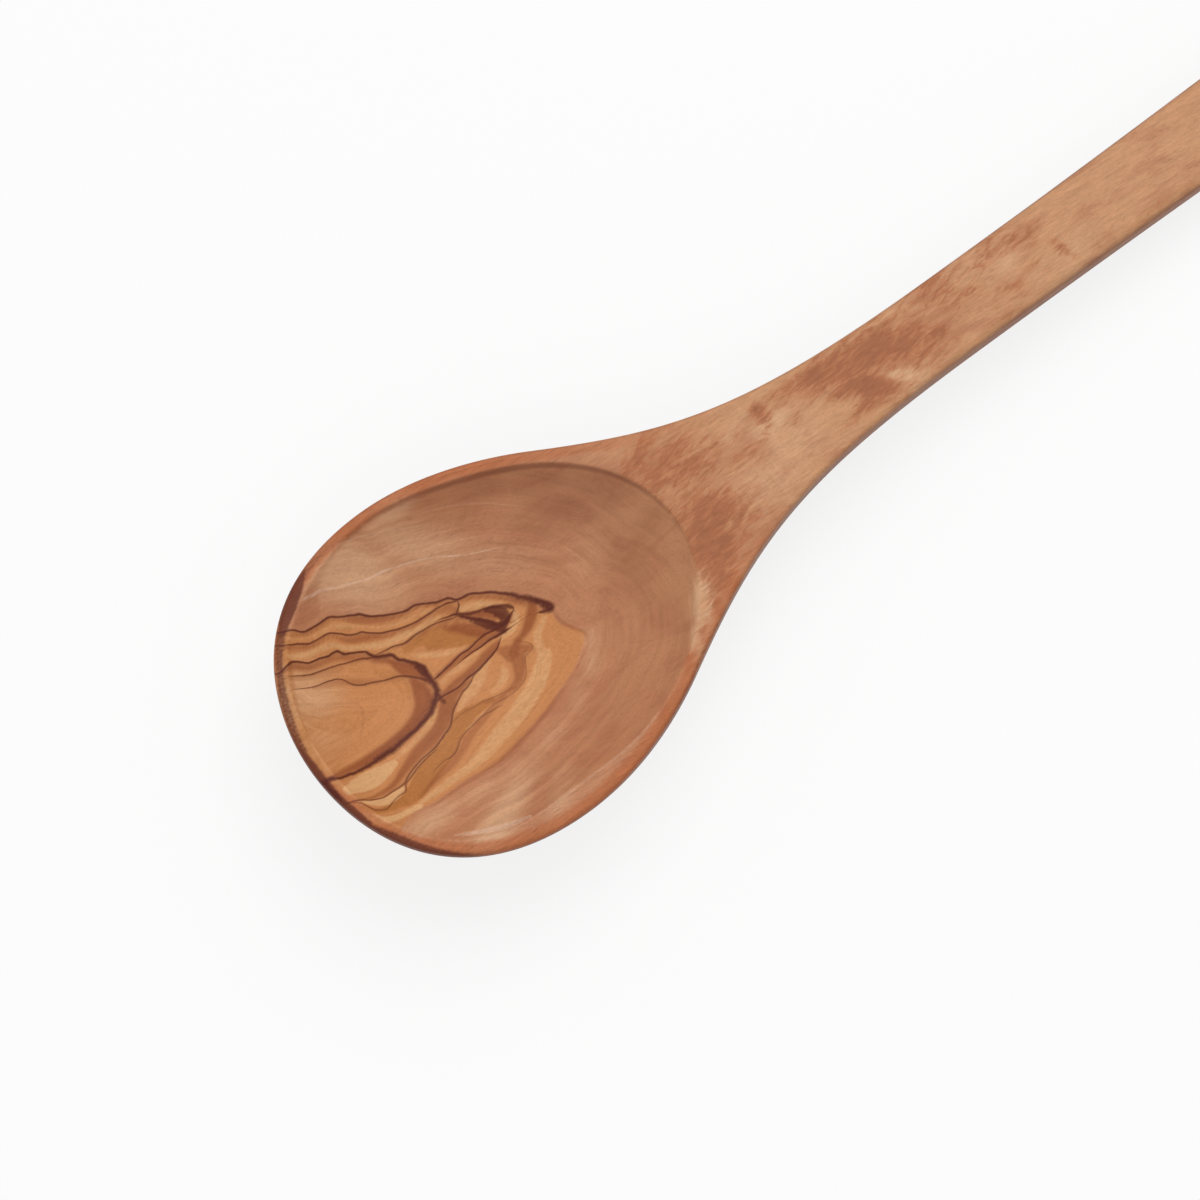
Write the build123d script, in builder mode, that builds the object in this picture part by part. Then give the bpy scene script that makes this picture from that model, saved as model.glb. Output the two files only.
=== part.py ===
from build123d import *
from math import atan, cos, pi, sin, sqrt
import os

# A wooden cooking spoon, carved in one piece from one board of olive wood.
# X runs along the spoon, from the tip of the bowl (-X) to the end of the handle (+X), and Z is up.
# The spoon lies on its back on a table, on the belly of its bowl and on the end of its handle.
# The origin is the middle of its footprint, on the table.
# The rim of the bowl and the upper face of the handle are one flat face, the board's own face.
# Places along the spoon are measured in that face, from the tip of the bowl.

# Driving dimensions, in millimetres
overall_length = 320.0
bowl_width = 72.4
bowl_widest_at = 37.5
belly_depth = 22.0
belly_at = 42.0
tip_height = 4.8
shoulder_at = 70.6
waist_at = 153.0
waist_width = 16.7
waist_thickness = 8.6
end_width = 20.4
end_thickness = 7.5
end_round_length = 11.0
rim_height = 4.4
handle_across_radius = 60.0

# The hollow of the bowl, widest where the bowl is
hollow_length = 82.0
tip_rim_width = 2.9
side_rim_width = 3.5
floor_thickness = 5.5

# Rounded edges and the flat sanded on the belly
rim_inner_round = 0.5
upper_edge_round = 1.3
lower_edge_round = 2.0
belly_flat_depth = 0.4

# How far the cutting shapes run past what they cut
overrun = 4.0

# Shape of the outline: each curve's handles, as shares of the length or half width that they follow
tip_side_share = 0.45
tip_front_share = 0.755
shoulder_width_share = 0.736
shoulder_front_share = 0.32
shoulder_back_share = 0.30
shoulder_slope_share = 0.55
waist_front_share = 0.53
waist_back_share = 0.45
end_front_share = 0.30
end_corner_share = 0.60
hollow_side_share = 0.515
hollow_back_share = 0.5523
hollow_steps = 8

# Shape of the keel, the lowest line of the underside
front_keel_power_share = 2.2
back_keel_power_share = 2.5
section_span_share = 0.985
station_spacing = 9.2

bowl_half = bowl_width / 2
waist_half = waist_width / 2
end_half = end_width / 2
shoulder_half = shoulder_width_share * bowl_half
end_round_at = overall_length - end_round_length
bowl_rise = belly_depth - rim_height
bowl_across_radius = (bowl_half**2 + bowl_rise**2) / (2 * bowl_rise)

# The lie of the spoon: its face falls from the tip to the end of the handle.
# The handle touches the table just inside its end, where its lower edge starts to round.
contact_at = overall_length - lower_edge_round / 2
lie_angle = atan((belly_depth - belly_flat_depth - end_thickness) / (contact_at - belly_at))
tip_x = -overall_length * cos(lie_angle) / 2
tip_z = contact_at * sin(lie_angle) + end_thickness * cos(lie_angle)
face_plane = Plane(
    origin=(tip_x, 0, tip_z),
    x_dir=(cos(lie_angle), 0, -sin(lie_angle)),
    z_dir=(sin(lie_angle), 0, cos(lie_angle)),
)


def keel_depth(place):
    """How far the keel lies below the face, at a place along the spoon."""
    if place <= belly_at:
        left = 1 - place / belly_at
        return tip_height + (belly_depth - tip_height) * (1 - left**front_keel_power_share)
    if place <= waist_at:
        gone = (place - belly_at) / (waist_at - belly_at)
        wave = (1 + cos(pi * gone)) / 2
        return waist_thickness + (belly_depth - waist_thickness) * wave**back_keel_power_share
    along = (place - waist_at) / (overall_length - waist_at)
    return waist_thickness + (end_thickness - waist_thickness) * along


def across_radius(place):
    """The radius of the underside across the spoon: it opens out from the belly to the waist."""
    along = min(max((place - belly_at) / (waist_at - belly_at), 0), 1)
    return bowl_across_radius + (handle_across_radius - bowl_across_radius) * along


def half_outline():
    """The curves of one long side of the spoon in plan, from the tip to the end of the handle."""
    shoulder_reach = shoulder_front_share * (shoulder_at - bowl_widest_at)
    shoulder_leave = shoulder_back_share * (waist_at - shoulder_at)
    tip_curve = Bezier(
        (0, 0),
        (0, tip_side_share * bowl_half),
        ((1 - tip_front_share) * bowl_widest_at, bowl_half),
        (bowl_widest_at, bowl_half),
    )
    bowl_curve = Bezier(
        (bowl_widest_at, bowl_half),
        (bowl_widest_at + shoulder_reach, bowl_half),
        (shoulder_at - shoulder_reach, shoulder_half + shoulder_slope_share * shoulder_reach),
        (shoulder_at, shoulder_half),
    )
    neck_curve = Bezier(
        (shoulder_at, shoulder_half),
        (shoulder_at + shoulder_leave, shoulder_half - shoulder_slope_share * shoulder_leave),
        (waist_at - waist_front_share * (waist_at - shoulder_at), waist_half),
        (waist_at, waist_half),
    )
    handle_curve = Bezier(
        (waist_at, waist_half),
        (waist_at + waist_back_share * (end_round_at - waist_at), waist_half),
        (end_round_at - end_front_share * (end_round_at - waist_at), end_half),
        (end_round_at, end_half),
    )
    end_curve = Bezier(
        (end_round_at, end_half),
        (end_round_at + end_corner_share * end_round_length, end_half),
        (overall_length, end_corner_share * end_half),
        (overall_length, 0),
    )
    return [tip_curve, bowl_curve, neck_curve, handle_curve, end_curve]


def station_places():
    """Even steps from ahead of the tip to past the handle's end, where the underside has its sections."""
    start = -2 * overrun
    steps = round((overall_length + overrun - start) / station_spacing)
    step_length = (overall_length + overrun - start) / steps
    return [start + step * step_length for step in range(steps + 1)]


# The hollow's round cross-sections share one axis, which lies above the rim along the spoon
hollow_half = bowl_half - side_rim_width
hollow_depth = belly_depth - floor_thickness
hollow_front = bowl_widest_at - tip_rim_width
hollow_back = hollow_length - hollow_front
hollow_axis_height = (hollow_half**2 - hollow_depth**2) / (2 * hollow_depth)


hollow_front_line = Bezier(
    (0, hollow_half),
    (-tip_front_share * hollow_front, hollow_half),
    (-hollow_front, hollow_side_share * hollow_half),
    (-hollow_front, 0),
)
hollow_back_line = Bezier(
    (0, hollow_half),
    (hollow_back_share * hollow_back, hollow_half),
    (hollow_back, hollow_back_share * hollow_half),
    (hollow_back, 0),
)


def hollow_point(step):
    """A place along the hollow and the radius of its section there, from its half width at the rim."""
    line = hollow_back_line if step > 0 else hollow_front_line
    point = line @ (abs(step) / hollow_steps)
    return (point.X, sqrt(point.Y**2 + hollow_axis_height**2))


# The hollow, as a tool body: its side line turned about that axis, up to a little past the rim
with BuildPart() as hollow:
    with BuildSketch(Plane.XY.offset(hollow_axis_height)):
        with BuildLine():
            side_line = Spline([hollow_point(step) for step in range(-hollow_steps, hollow_steps + 1)])
            front_end = side_line @ 0 - overrun * (side_line % 0)
            back_end = side_line @ 1 + overrun * (side_line % 1)
            Polyline(side_line @ 1, back_end, (back_end.X, 0), (front_end.X, 0), front_end, side_line @ 0)
        make_face()
    revolve(axis=Axis((0, 0, hollow_axis_height), (1, 0, 0)))

# The underside, as a tool body: cross-sections with a round bottom, lofted along the spoon
with BuildPart() as underside:
    for place in station_places():
        radius = across_radius(place)
        half = section_span_share * radius
        edge = radius - sqrt(radius**2 - half**2) - keel_depth(place)
        station = Plane(
            origin=face_plane.from_local_coords((place, 0, 0)),
            x_dir=(0, 1, 0),
            z_dir=face_plane.x_dir,
        )
        with BuildSketch(station):
            with BuildLine():
                ThreePointArc((-half, edge), (0, -keel_depth(place)), (half, edge))
                Polyline((half, edge), (half, radius), (-half, radius), (-half, edge))
            make_face()
    loft()

# The spoon
hollow_plane = Plane(
    origin=face_plane.from_local_coords((bowl_widest_at, 0, 0)),
    x_dir=face_plane.x_dir,
    z_dir=face_plane.z_dir,
)

# Each curve of the outline stays an edge of its own, so that the rounded edges run smoothly over it
one_side = half_outline()
other_side = [curve.mirror(Plane.XZ) for curve in one_side]
outline_face = Face(Wire(one_side + other_side)).moved(face_plane.location)

with BuildPart() as spoon:
    extrude(outline_face, amount=-(belly_depth + overrun), dir=face_plane.z_dir, clean=False)
    add(underside.part, mode=Mode.INTERSECT, clean=False)
    upper_face = spoon.faces().filter_by(GeomType.PLANE).sort_by(SortBy.AREA)[-1]
    fillet(upper_face.edges(), upper_edge_round)
    lower_face = spoon.faces().filter_by(GeomType.BSPLINE).sort_by(SortBy.AREA)[-1]
    fillet(lower_face.edges(), lower_edge_round)
    add(hollow.part.moved(hollow_plane.location), mode=Mode.SUBTRACT)
    hollow_face = spoon.faces().filter_by(GeomType.REVOLUTION).sort_by(SortBy.AREA)[-1]
    fillet(hollow_face.edges(), rim_inner_round)
    split(bisect_by=Plane.XY, keep=Keep.TOP)

spoon.part.label = "spoon"
os.makedirs("parts", exist_ok=True)
export_step(spoon.part, "parts/spoon.step")
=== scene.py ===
"""The looks of a wooden cooking spoon, carved in one piece from figured olive wood."""

import math
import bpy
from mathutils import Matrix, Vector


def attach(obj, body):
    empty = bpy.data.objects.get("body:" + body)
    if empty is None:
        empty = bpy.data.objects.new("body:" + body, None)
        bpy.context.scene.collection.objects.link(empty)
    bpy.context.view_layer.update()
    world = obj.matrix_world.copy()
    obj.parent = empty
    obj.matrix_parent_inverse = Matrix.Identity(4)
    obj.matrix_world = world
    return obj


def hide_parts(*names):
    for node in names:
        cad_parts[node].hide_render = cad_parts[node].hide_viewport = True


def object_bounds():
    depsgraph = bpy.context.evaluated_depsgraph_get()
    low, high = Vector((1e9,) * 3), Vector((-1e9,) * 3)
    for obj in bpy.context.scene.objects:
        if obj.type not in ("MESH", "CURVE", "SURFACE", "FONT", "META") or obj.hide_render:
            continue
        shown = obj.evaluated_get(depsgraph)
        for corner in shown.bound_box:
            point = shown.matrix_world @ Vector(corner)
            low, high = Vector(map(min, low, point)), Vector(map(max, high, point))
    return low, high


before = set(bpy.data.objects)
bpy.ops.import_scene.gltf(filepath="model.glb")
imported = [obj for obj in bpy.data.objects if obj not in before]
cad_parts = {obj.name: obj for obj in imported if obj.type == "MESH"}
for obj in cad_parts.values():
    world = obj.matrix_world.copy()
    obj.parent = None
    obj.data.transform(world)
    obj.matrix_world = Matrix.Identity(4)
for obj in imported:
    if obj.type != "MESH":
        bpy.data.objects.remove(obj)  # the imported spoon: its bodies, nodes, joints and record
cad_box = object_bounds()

from types import SimpleNamespace

import bmesh
import bpy
import numpy as np
from bpy.props import FloatProperty, FloatVectorProperty, PointerProperty
from mathutils import Vector

bl_info = {
    "name": "Olive wood spoon",
    "version": (1, 0, 0),
    "blender": (4, 5, 0),
    "location": "3D View > Sidebar > Spoon",
    "description": "Builds a carved olive wood cooking spoon and the plain table that it lies on",
    "category": "Add Mesh",
}

MILLIMETRE = 0.001

# Shape of the outline and of the keel, as shares of the sizes that they follow
TIP_SIDE, TIP_FRONT = 0.45, 0.755
SHOULDER_WIDTH, SHOULDER_FRONT, SHOULDER_BACK, SHOULDER_SLOPE = 0.736, 0.32, 0.30, 0.55
WAIST_FRONT, WAIST_BACK = 0.53, 0.45
END_FRONT, END_CORNER = 0.30, 0.60
HOLLOW_SIDE, HOLLOW_BACK = 0.515, 0.5523
FRONT_KEEL_POWER, BACK_KEEL_POWER = 2.2, 2.5

# What the sizes don't set, in millimetres: how far along the spoon the hollow's lean reaches, how far
# short of the handle's end the middle lines stop, where the underside's one starts, and over what height
# the belly's flat is blended in
LEAN_REACH = 13.0
SPINE_SHORT = 6.0
UNDER_SPINE_START = 14.0
FLAT_BLEND = 0.12

# Where the upper edge's rounding starts to grow to the handle's, over what length, and by what power
HANDLE_EDGE_START, HANDLE_EDGE_SPAN, HANDLE_EDGE_POWER = 100.0, 80.0, 1.5

# The waves of the hand-worked faces: how fast each turns along, across and up, in radians for each
# millimetre, where it starts, and its share
HAND_WAVES = [(0.23, 0.11, 0.0, 1.0, 1.0), (0.09, -0.31, 0.2, 2.2, 1.0), (0.41, 0.27, -0.15, 4.1, 0.6)]

# The mesh: its columns round one side of the bowl, along the handle and round its end, its rows over
# each face, and how far from the hollow's edge the nearest rows lie, in millimetres and at most as a
# share of the room there
BOWL_COLUMNS, HANDLE_COLUMNS, END_COLUMNS = 250, 190, 34
HOLLOW_ROWS, RIM_ROWS, ROUND_ROWS, SIDE_ROWS, UNDER_ROWS = 46, 13, 7, 4, 26
EDGE_OFFSETS, EDGE_OFFSET_SHARE = (0.15, 0.32, 0.55), 0.6

# The top's middle line is this share of the hollow's length. Columns run straight out from the bowl's
# middle, but those less than COLUMN_BEND from the handle's line lean, and the last of them meets the
# outline LAST_COLUMN from that line.
SPINE_SHARE = 0.62
COLUMN_BEND, LAST_COLUMN = math.radians(60), math.radians(12.7)

# Half the length, in millimetres, over which the outline's direction is taken, and the gap in metres
# under which two points of the mesh are one
DIRECTION_REACH = 0.05
SAME_POINT = 2e-7

# The camera, as the photograph sees the spoon: places in metres, the lens and its sensor in millimetres
FRAME_PIXELS = 1200
CAMERA_ELEVATION, CAMERA_AZIMUTH = math.radians(77.5), math.radians(-37.26)
CAMERA_DISTANCE, CAMERA_LENS, CAMERA_SENSOR = 0.700, 110.0, 36.0
CAMERA_AIM = (-0.0962, -0.00466, 0.018)
CAMERA_CLIP = (0.01, 20)

# How often a pixel's place on the spoon is worked out again from the height found there
SETTLING_ROUNDS = 12

# The table's half width and its gap under the spoon, in metres, and how much of it the background's
# white covers
TABLE_HALF, TABLE_GAP = 3.0, 1e-4
TABLE_WHITE_SHARE = 0.8
PAINT, WHITE = "#EFEFEF", "#FFFFFF"

# The soft light: the point that the lamps face, and for each lamp its place from there in metres, to
# the photograph's top, to its right and above, its width in metres and its power in watts
LAMP_AIM = (-0.05, 0, 0.01)
LAMPS = {"window_light": ((0.8, 0.2, 1.1), 1.1, 10), "fill_light": ((-0.9, -0.3, 1.0), 1.0, 3)}
SKY_STRENGTH = 0.58

# How the figure lies in the wood, in millimetres: how far the growth rings lean along and across the
# spoon for each millimetre of depth, the skin without a lean, how far from the tip the figure reaches,
# where the handle's tan wood starts and over what length it takes over, and over what height and depth
# the hollow's wood gives way to the rim's
RING_LEAN = (-2.2, 1.4)
TOP_SKIN = 0.2
FIGURE_REACH = 110.0
TAN_START, TAN_SPAN = 60.0, 45.0
HOLLOW_FADE = 0.5

# The line distance and the band depth that stand for none, the least half width of a line, how far
# outside a stroke its colour starts and over what length it grows, how fast a soft patch falls, and how
# the marks on the rim fade with depth: their strength at the top, held to 1, and the depth that takes 1
LINE_AWAY, BAND_AWAY = 400.0, -9.0
LEAST_HALF_WIDTH = 0.02
STROKE_START, STROKE_SPAN = 0.5, 0.8
PATCH_FALL = 0.7
RIM_MARK_TOP, RIM_MARK_DEPTH = 1.15, 7.0

# Sides of the bowl, seen from the hollow's heart, which lies a little behind its widest place: where the
# hollow's edge gets a painted shadow, where it gets a painted highlight, and the tip, where the rim has no
# wood of its own.
# Each has its direction along and across the spoon, and how narrow it is from 0 to 1.
HOLLOW_HEART = 7.5
BOWL_SIDES = {"dark": ((0.6, 0.8), 0.2), "bright": ((0.0, -1.0), 0.7), "tip": ((-0.93, 0.37), 0.85)}

# The painted shadow line and the painted highlight line at the hollow's edge: how far inside it each lies
# and how wide it is, and how much further from the outline the tip counts than it lies, in millimetres
PAINTED_SHADOW_LINE, PAINTED_HIGHLIGHT_LINE = (0.35, 0.5), (-0.1, 0.32)
TIP_EXTRA = 2.0

# How many points of an outline stand for one when distances from it are measured
OUTLINE_STEP = 8


# The figure of the bowl, drawn over the photograph. Each stroke is a row of places in its pixels, across
# and down, each with half the stroke's width in hundredths of a millimetre.
GROWTH_LINES = {
    "upper": (0.95, [
        (270, 634, 10), (283, 632, 12), (292, 630, 13), (303, 632, 13), (310, 629, 13), (317, 625, 13),
        (323, 621, 14), (329, 617, 14), (337, 617, 14), (346, 616, 14), (354, 615, 17), (360, 614, 20),
        (368, 616, 16), (376, 616, 14), (386, 615, 14), (397, 613, 14), (405, 611, 15), (413, 606, 15),
        (420, 604, 15), (430, 603, 15), (437, 602, 16), (449, 598, 17), (455, 600, 16), (461, 598, 17),
        (469, 594, 18), (479, 593, 18), (489, 592, 19), (500, 593, 20), (510, 594, 28), (519, 597, 38),
        (529, 598, 42), (540, 601, 38), (550, 604, 34), (552, 607, 42), (547, 610, 42), (541, 612, 20),
        (538, 613, 4),
    ]),
    "second": (0.85, [
        (270, 646, 8), (287, 645, 10), (298, 644, 13), (307, 644, 14), (313, 642, 12), (320, 638, 11),
        (327, 634, 12), (333, 633, 13), (341, 634, 13), (348, 635, 14), (356, 634, 13), (362, 632, 13),
        (370, 633, 12), (380, 633, 12), (390, 631, 12), (401, 628, 13), (409, 625, 13), (419, 620, 13),
        (430, 613, 13), (436, 609, 13), (445, 604, 12), (456, 601, 12), (459, 599, 3),
    ]),
    "eye": (1.0, [
        (270, 676, 8), (279, 673, 10), (283, 670, 14), (287, 666, 14), (292, 662, 15), (300, 662, 14),
        (308, 663, 13), (314, 661, 13), (321, 658, 13), (329, 656, 14), (333, 653, 15), (338, 651, 16),
        (343, 654, 17), (352, 653, 14), (360, 652, 14), (366, 652, 16), (371, 655, 25), (376, 657, 32),
        (384, 656, 28), (392, 655, 28), (398, 659, 25), (407, 661, 25), (415, 663, 28), (422, 666, 35),
        (426, 671, 38), (428, 676, 42), (432, 681, 42), (436, 687, 44), (437, 695, 44), (434, 704, 40),
        (431, 713, 36), (425, 720, 32), (418, 728, 30), (410, 735, 33), (403, 741, 35), (394, 749, 40),
        (384, 755, 42), (376, 761, 36), (368, 766, 30), (357, 772, 24), (348, 775, 22), (341, 778, 22),
        (332, 779, 30), (327, 782, 50), (321, 786, 50),
    ]),
    "eye_top": (0.8, [
        (290, 676, 5), (308, 675, 10), (318, 672, 10), (329, 668, 10), (338, 665, 10), (347, 663, 10),
        (360, 659, 12), (370, 658, 12), (377, 657, 8),
    ]),
    "eye_middle": (0.8, [
        (296, 689, 4), (313, 687, 7), (321, 684, 8), (329, 681, 9), (337, 679, 9), (344, 680, 8),
        (352, 684, 9), (361, 685, 10), (370, 683, 10), (380, 681, 10), (389, 679, 11), (400, 676, 13),
        (413, 677, 16), (423, 679, 22), (430, 681, 26), (434, 684, 10),
    ]),
    "leaf_top": (0.75, [
        (373, 656, 8), (384, 651, 10), (394, 646, 12), (405, 643, 14), (415, 635, 14), (425, 629, 13),
        (432, 625, 12), (442, 621, 12), (450, 619, 10), (455, 617, 4),
    ]),
    "leaf_roof": (0.9, [
        (440, 619, 5), (447, 617, 12), (452, 615, 16), (457, 614, 22), (466, 614, 25), (476, 612, 20),
        (484, 609, 18), (492, 607, 22), (502, 606, 30), (511, 607, 30), (514, 610, 6),
    ]),
    "leaf_post": (0.85, [
        (457, 600, 4), (459, 604, 12), (458, 609, 13), (457, 613, 15), (456, 616, 4),
    ]),
    "leaf_floor": (0.95, [
        (461, 616, 12), (470, 618, 20), (477, 619, 25), (487, 621, 30), (494, 623, 35), (502, 624, 30),
        (507, 620, 25), (511, 614, 20), (513, 609, 5),
    ]),
    "rib_a": (0.95, [
        (507, 623, 10), (503, 625, 16), (494, 630, 14), (484, 635, 13), (476, 642, 12), (469, 649, 12),
        (461, 654, 12), (456, 659, 12), (451, 664, 12), (443, 671, 12), (437, 677, 12), (432, 681, 5),
    ]),
    "rib_b": (1.0, [
        (508, 629, 14), (505, 631, 20), (497, 636, 18), (488, 641, 14), (482, 646, 12), (474, 651, 10),
        (466, 657, 8), (459, 663, 4),
    ]),
    "rib_c": (0.95, [
        (501, 637, 4), (499, 643, 9), (497, 648, 12), (492, 655, 15), (484, 664, 15), (476, 672, 15),
        (469, 677, 15), (464, 682, 13), (459, 687, 10), (451, 692, 10), (443, 696, 12), (437, 701, 16),
    ]),
    "rib_d": (0.75, [
        (475, 674, 4), (473, 677, 10), (469, 685, 12), (462, 693, 12), (458, 701, 13), (454, 709, 13),
        (452, 718, 13), (450, 727, 14), (443, 737, 13), (436, 747, 13), (428, 754, 11), (420, 761, 11),
        (413, 769, 12), (408, 777, 13), (404, 784, 12), (392, 792, 11), (382, 798, 11), (371, 800, 11),
        (361, 800, 10), (351, 802, 10), (338, 807, 5),
    ]),
    "ochre_left": (0.65, [
        (436, 750, 4), (428, 757, 9), (419, 766, 12), (411, 777, 13), (406, 784, 12), (406, 791, 11),
        (399, 796, 9), (392, 803, 8), (387, 809, 9), (376, 810, 10), (369, 807, 10), (361, 803, 8),
        (352, 803, 4),
    ]),
    "ochre_right": (0.55, [
        (499, 706, 4), (492, 711, 8), (484, 715, 8), (471, 727, 8), (461, 738, 8), (458, 747, 12),
        (455, 753, 13), (450, 758, 10), (444, 761, 6), (434, 771, 4),
    ]),
    "ochre_top": (0.35, [
        (512, 688, 4), (499, 695, 7), (486, 700, 8), (476, 706, 8), (464, 712, 8), (456, 719, 8),
        (449, 726, 4),
    ]),
    "blob_edge": (0.35, [
        (519, 641, 4), (530, 643, 8), (533, 648, 9), (528, 653, 9), (525, 658, 9), (526, 668, 9),
        (526, 676, 9), (521, 685, 9), (512, 694, 8), (502, 700, 8), (492, 706, 7), (482, 716, 4),
    ]),
    "eye_heart": (0.1, [
        (286, 705, 6), (300, 704, 14), (313, 704, 16), (329, 704, 16), (343, 703, 18), (357, 703, 18),
        (362, 709, 18), (363, 722, 16), (361, 736, 10),
    ]),
}

# Broad brown bands of late wood, and one band of painted shade along the hollow's upper left wall: places
# as above, half widths in hundredths of a millimetre
GROWTH_BANDS = {
    "under_upper": (0.8, [
        (283, 635, 40), (303, 635, 45), (312, 632, 40), (323, 625, 40), (330, 620, 35), (340, 620, 40),
        (352, 620, 80), (362, 620, 95), (372, 620, 95), (384, 619, 90), (396, 617, 75), (405, 614, 60),
        (414, 609, 55), (424, 606, 50), (437, 604, 45), (450, 602, 35),
    ]),
    "under_roof": (0.8, [
        (460, 601, 40), (470, 598, 55), (485, 597, 55), (500, 598, 65), (512, 600, 70), (524, 603, 60),
    ]),
    "under_second": (0.85, [
        (285, 648, 50), (303, 648, 55), (313, 646, 50), (325, 639, 45), (334, 637, 50), (345, 640, 70),
        (355, 640, 85), (364, 638, 90), (374, 637, 80), (386, 636, 65), (398, 632, 50), (408, 629, 45),
        (420, 622, 45), (432, 615, 45), (441, 610, 50), (451, 606, 50),
    ]),
    "post": (0.6, [(440, 613, 40), (447, 610, 70), (454, 609, 90), (454, 614, 60)]),
    "under_eye": (0.85, [
        (283, 673, 50), (293, 667, 75), (308, 668, 75), (320, 664, 70), (332, 659, 70), (340, 658, 70),
        (352, 658, 75), (364, 657, 60), (376, 660, 60), (388, 661, 80),
    ]),
    "eye_shade": (0.4, [(284, 678, 50), (300, 678, 45), (320, 674, 45), (340, 668, 40)]),
    "eye_lens": (0.6, [
        (314, 688, 25), (330, 684, 50), (340, 682, 60), (352, 682, 75), (362, 682, 70), (372, 681, 50),
        (384, 680, 35), (398, 677, 25),
    ]),
    "eye_brow": (1.0, [
        (388, 660, 60), (396, 665, 110), (404, 669, 160), (413, 670, 170), (421, 672, 155), (427, 679, 120),
    ]),
    "eye_side": (1.0, [
        (414, 682, 110), (420, 690, 185), (424, 700, 210), (422, 710, 190), (418, 718, 170),
        (412, 726, 155), (403, 735, 140), (393, 743, 125), (382, 751, 115), (370, 758, 105),
        (358, 765, 95), (347, 770, 80), (337, 775, 60), (329, 779, 45),
    ]),
    "leaf_shade": (0.95, [
        (440, 626, 40), (450, 628, 90), (460, 628, 130), (472, 630, 160), (485, 630, 150), (496, 628, 100),
    ]),
    "leaf_inside": (1.0, [
        (461, 616, 40), (472, 615, 80), (484, 614, 100), (495, 615, 110), (503, 616, 90),
    ]),
    "leaf_rim": (0.7, [
        (402, 645, 20), (415, 638, 35), (426, 632, 45), (438, 626, 50), (450, 621, 60), (462, 619, 60),
    ]),
    "rib_ab": (1.0, [
        (504, 628, 70), (496, 633, 75), (486, 640, 75), (475, 647, 75), (466, 653, 80), (457, 660, 85),
        (448, 668, 80), (438, 677, 60),
    ]),
    "rib_cc": (0.9, [
        (499, 640, 40), (496, 645, 85), (490, 651, 105), (484, 658, 110), (476, 666, 100), (467, 674, 95),
        (457, 682, 100), (449, 690, 110), (443, 698, 110),
    ]),
    "rib_dd": (0.9, [
        (470, 681, 30), (461, 688, 85), (453, 694, 130), (448, 702, 180), (445, 714, 165), (440, 727, 150),
        (430, 740, 160), (419, 751, 145), (409, 763, 115), (402, 773, 95), (396, 782, 80), (387, 790, 65),
        (373, 797, 42), (360, 800, 28), (350, 802, 20),
    ]),
    "hook": (1.0, [
        (532, 604, 110), (532, 612, 130), (530, 620, 125), (527, 628, 110), (522, 636, 85), (517, 642, 95),
        (515, 648, 110), (514, 654, 120),
    ]),
    "blob": (0.75, [(499, 652, 60), (506, 652, 160), (514, 654, 200), (521, 650, 140), (529, 647, 85)]),
    "blob_tail": (0.75, [
        (518, 658, 170), (519, 667, 150), (519, 677, 120), (514, 686, 95), (506, 693, 70), (496, 699, 55),
        (484, 702, 40),
    ]),
    "ochre_side": (0.65, [
        (505, 697, 55), (495, 706, 75), (484, 718, 95), (474, 730, 100), (466, 742, 110), (460, 753, 100),
        (450, 765, 105), (438, 777, 95), (428, 788, 75), (421, 797, 50),
    ]),
    "heart_side": (0.6, [
        (553, 611, 30), (562, 622, 55), (574, 628, 50), (586, 634, 35), (588, 644, 30), (582, 657, 35),
        (576, 670, 35), (568, 683, 40), (557, 697, 55), (546, 712, 70), (534, 727, 80), (520, 742, 85),
        (505, 757, 85), (490, 768, 70), (474, 778, 60), (461, 786, 60), (447, 796, 55), (432, 806, 40),
    ]),
    # painted shade along the hollow's upper left wall, just inside the rim, not late wood
    "left_wall_shade": (0.25, [
        (372, 515, 20), (350, 532, 60), (332, 552, 90), (318, 572, 120), (312, 590, 120), (312, 608, 150),
        (304, 620, 120), (296, 624, 60),
    ]),
}

# Ochre zones inside the heart of the figure
OCHRE_BANDS = {
    "leaf_core": (0.9, [
        (430, 646, 90), (442, 641, 160), (455, 637, 200), (468, 637, 170), (480, 636, 110),
    ]),
    "leaf_left": (0.8, [(405, 650, 60), (418, 642, 100), (430, 635, 110), (442, 630, 80)]),
    "middle": (1.0, [
        (492, 700, 60), (478, 708, 110), (466, 717, 170), (458, 727, 190), (452, 738, 170), (446, 748, 190),
        (437, 760, 210), (430, 770, 210), (423, 780, 190), (417, 790, 170), (410, 798, 140), (400, 803, 95),
        (390, 808, 70), (376, 811, 45), (364, 806, 30),
    ]),
    "under_brow": (0.5, [(376, 672, 60), (390, 676, 120), (402, 684, 120), (408, 696, 80)]),
    "rim_left": (0.6, [
        (287, 640, 70), (288, 665, 90), (290, 690, 100), (295, 712, 100), (303, 735, 100), (313, 757, 90),
        (323, 773, 60),
    ]),
    "eye_floor": (0.45, [
        (290, 712, 60), (304, 716, 120), (320, 722, 170), (336, 726, 190), (350, 724, 150), (359, 718, 60),
    ]),
}

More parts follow.
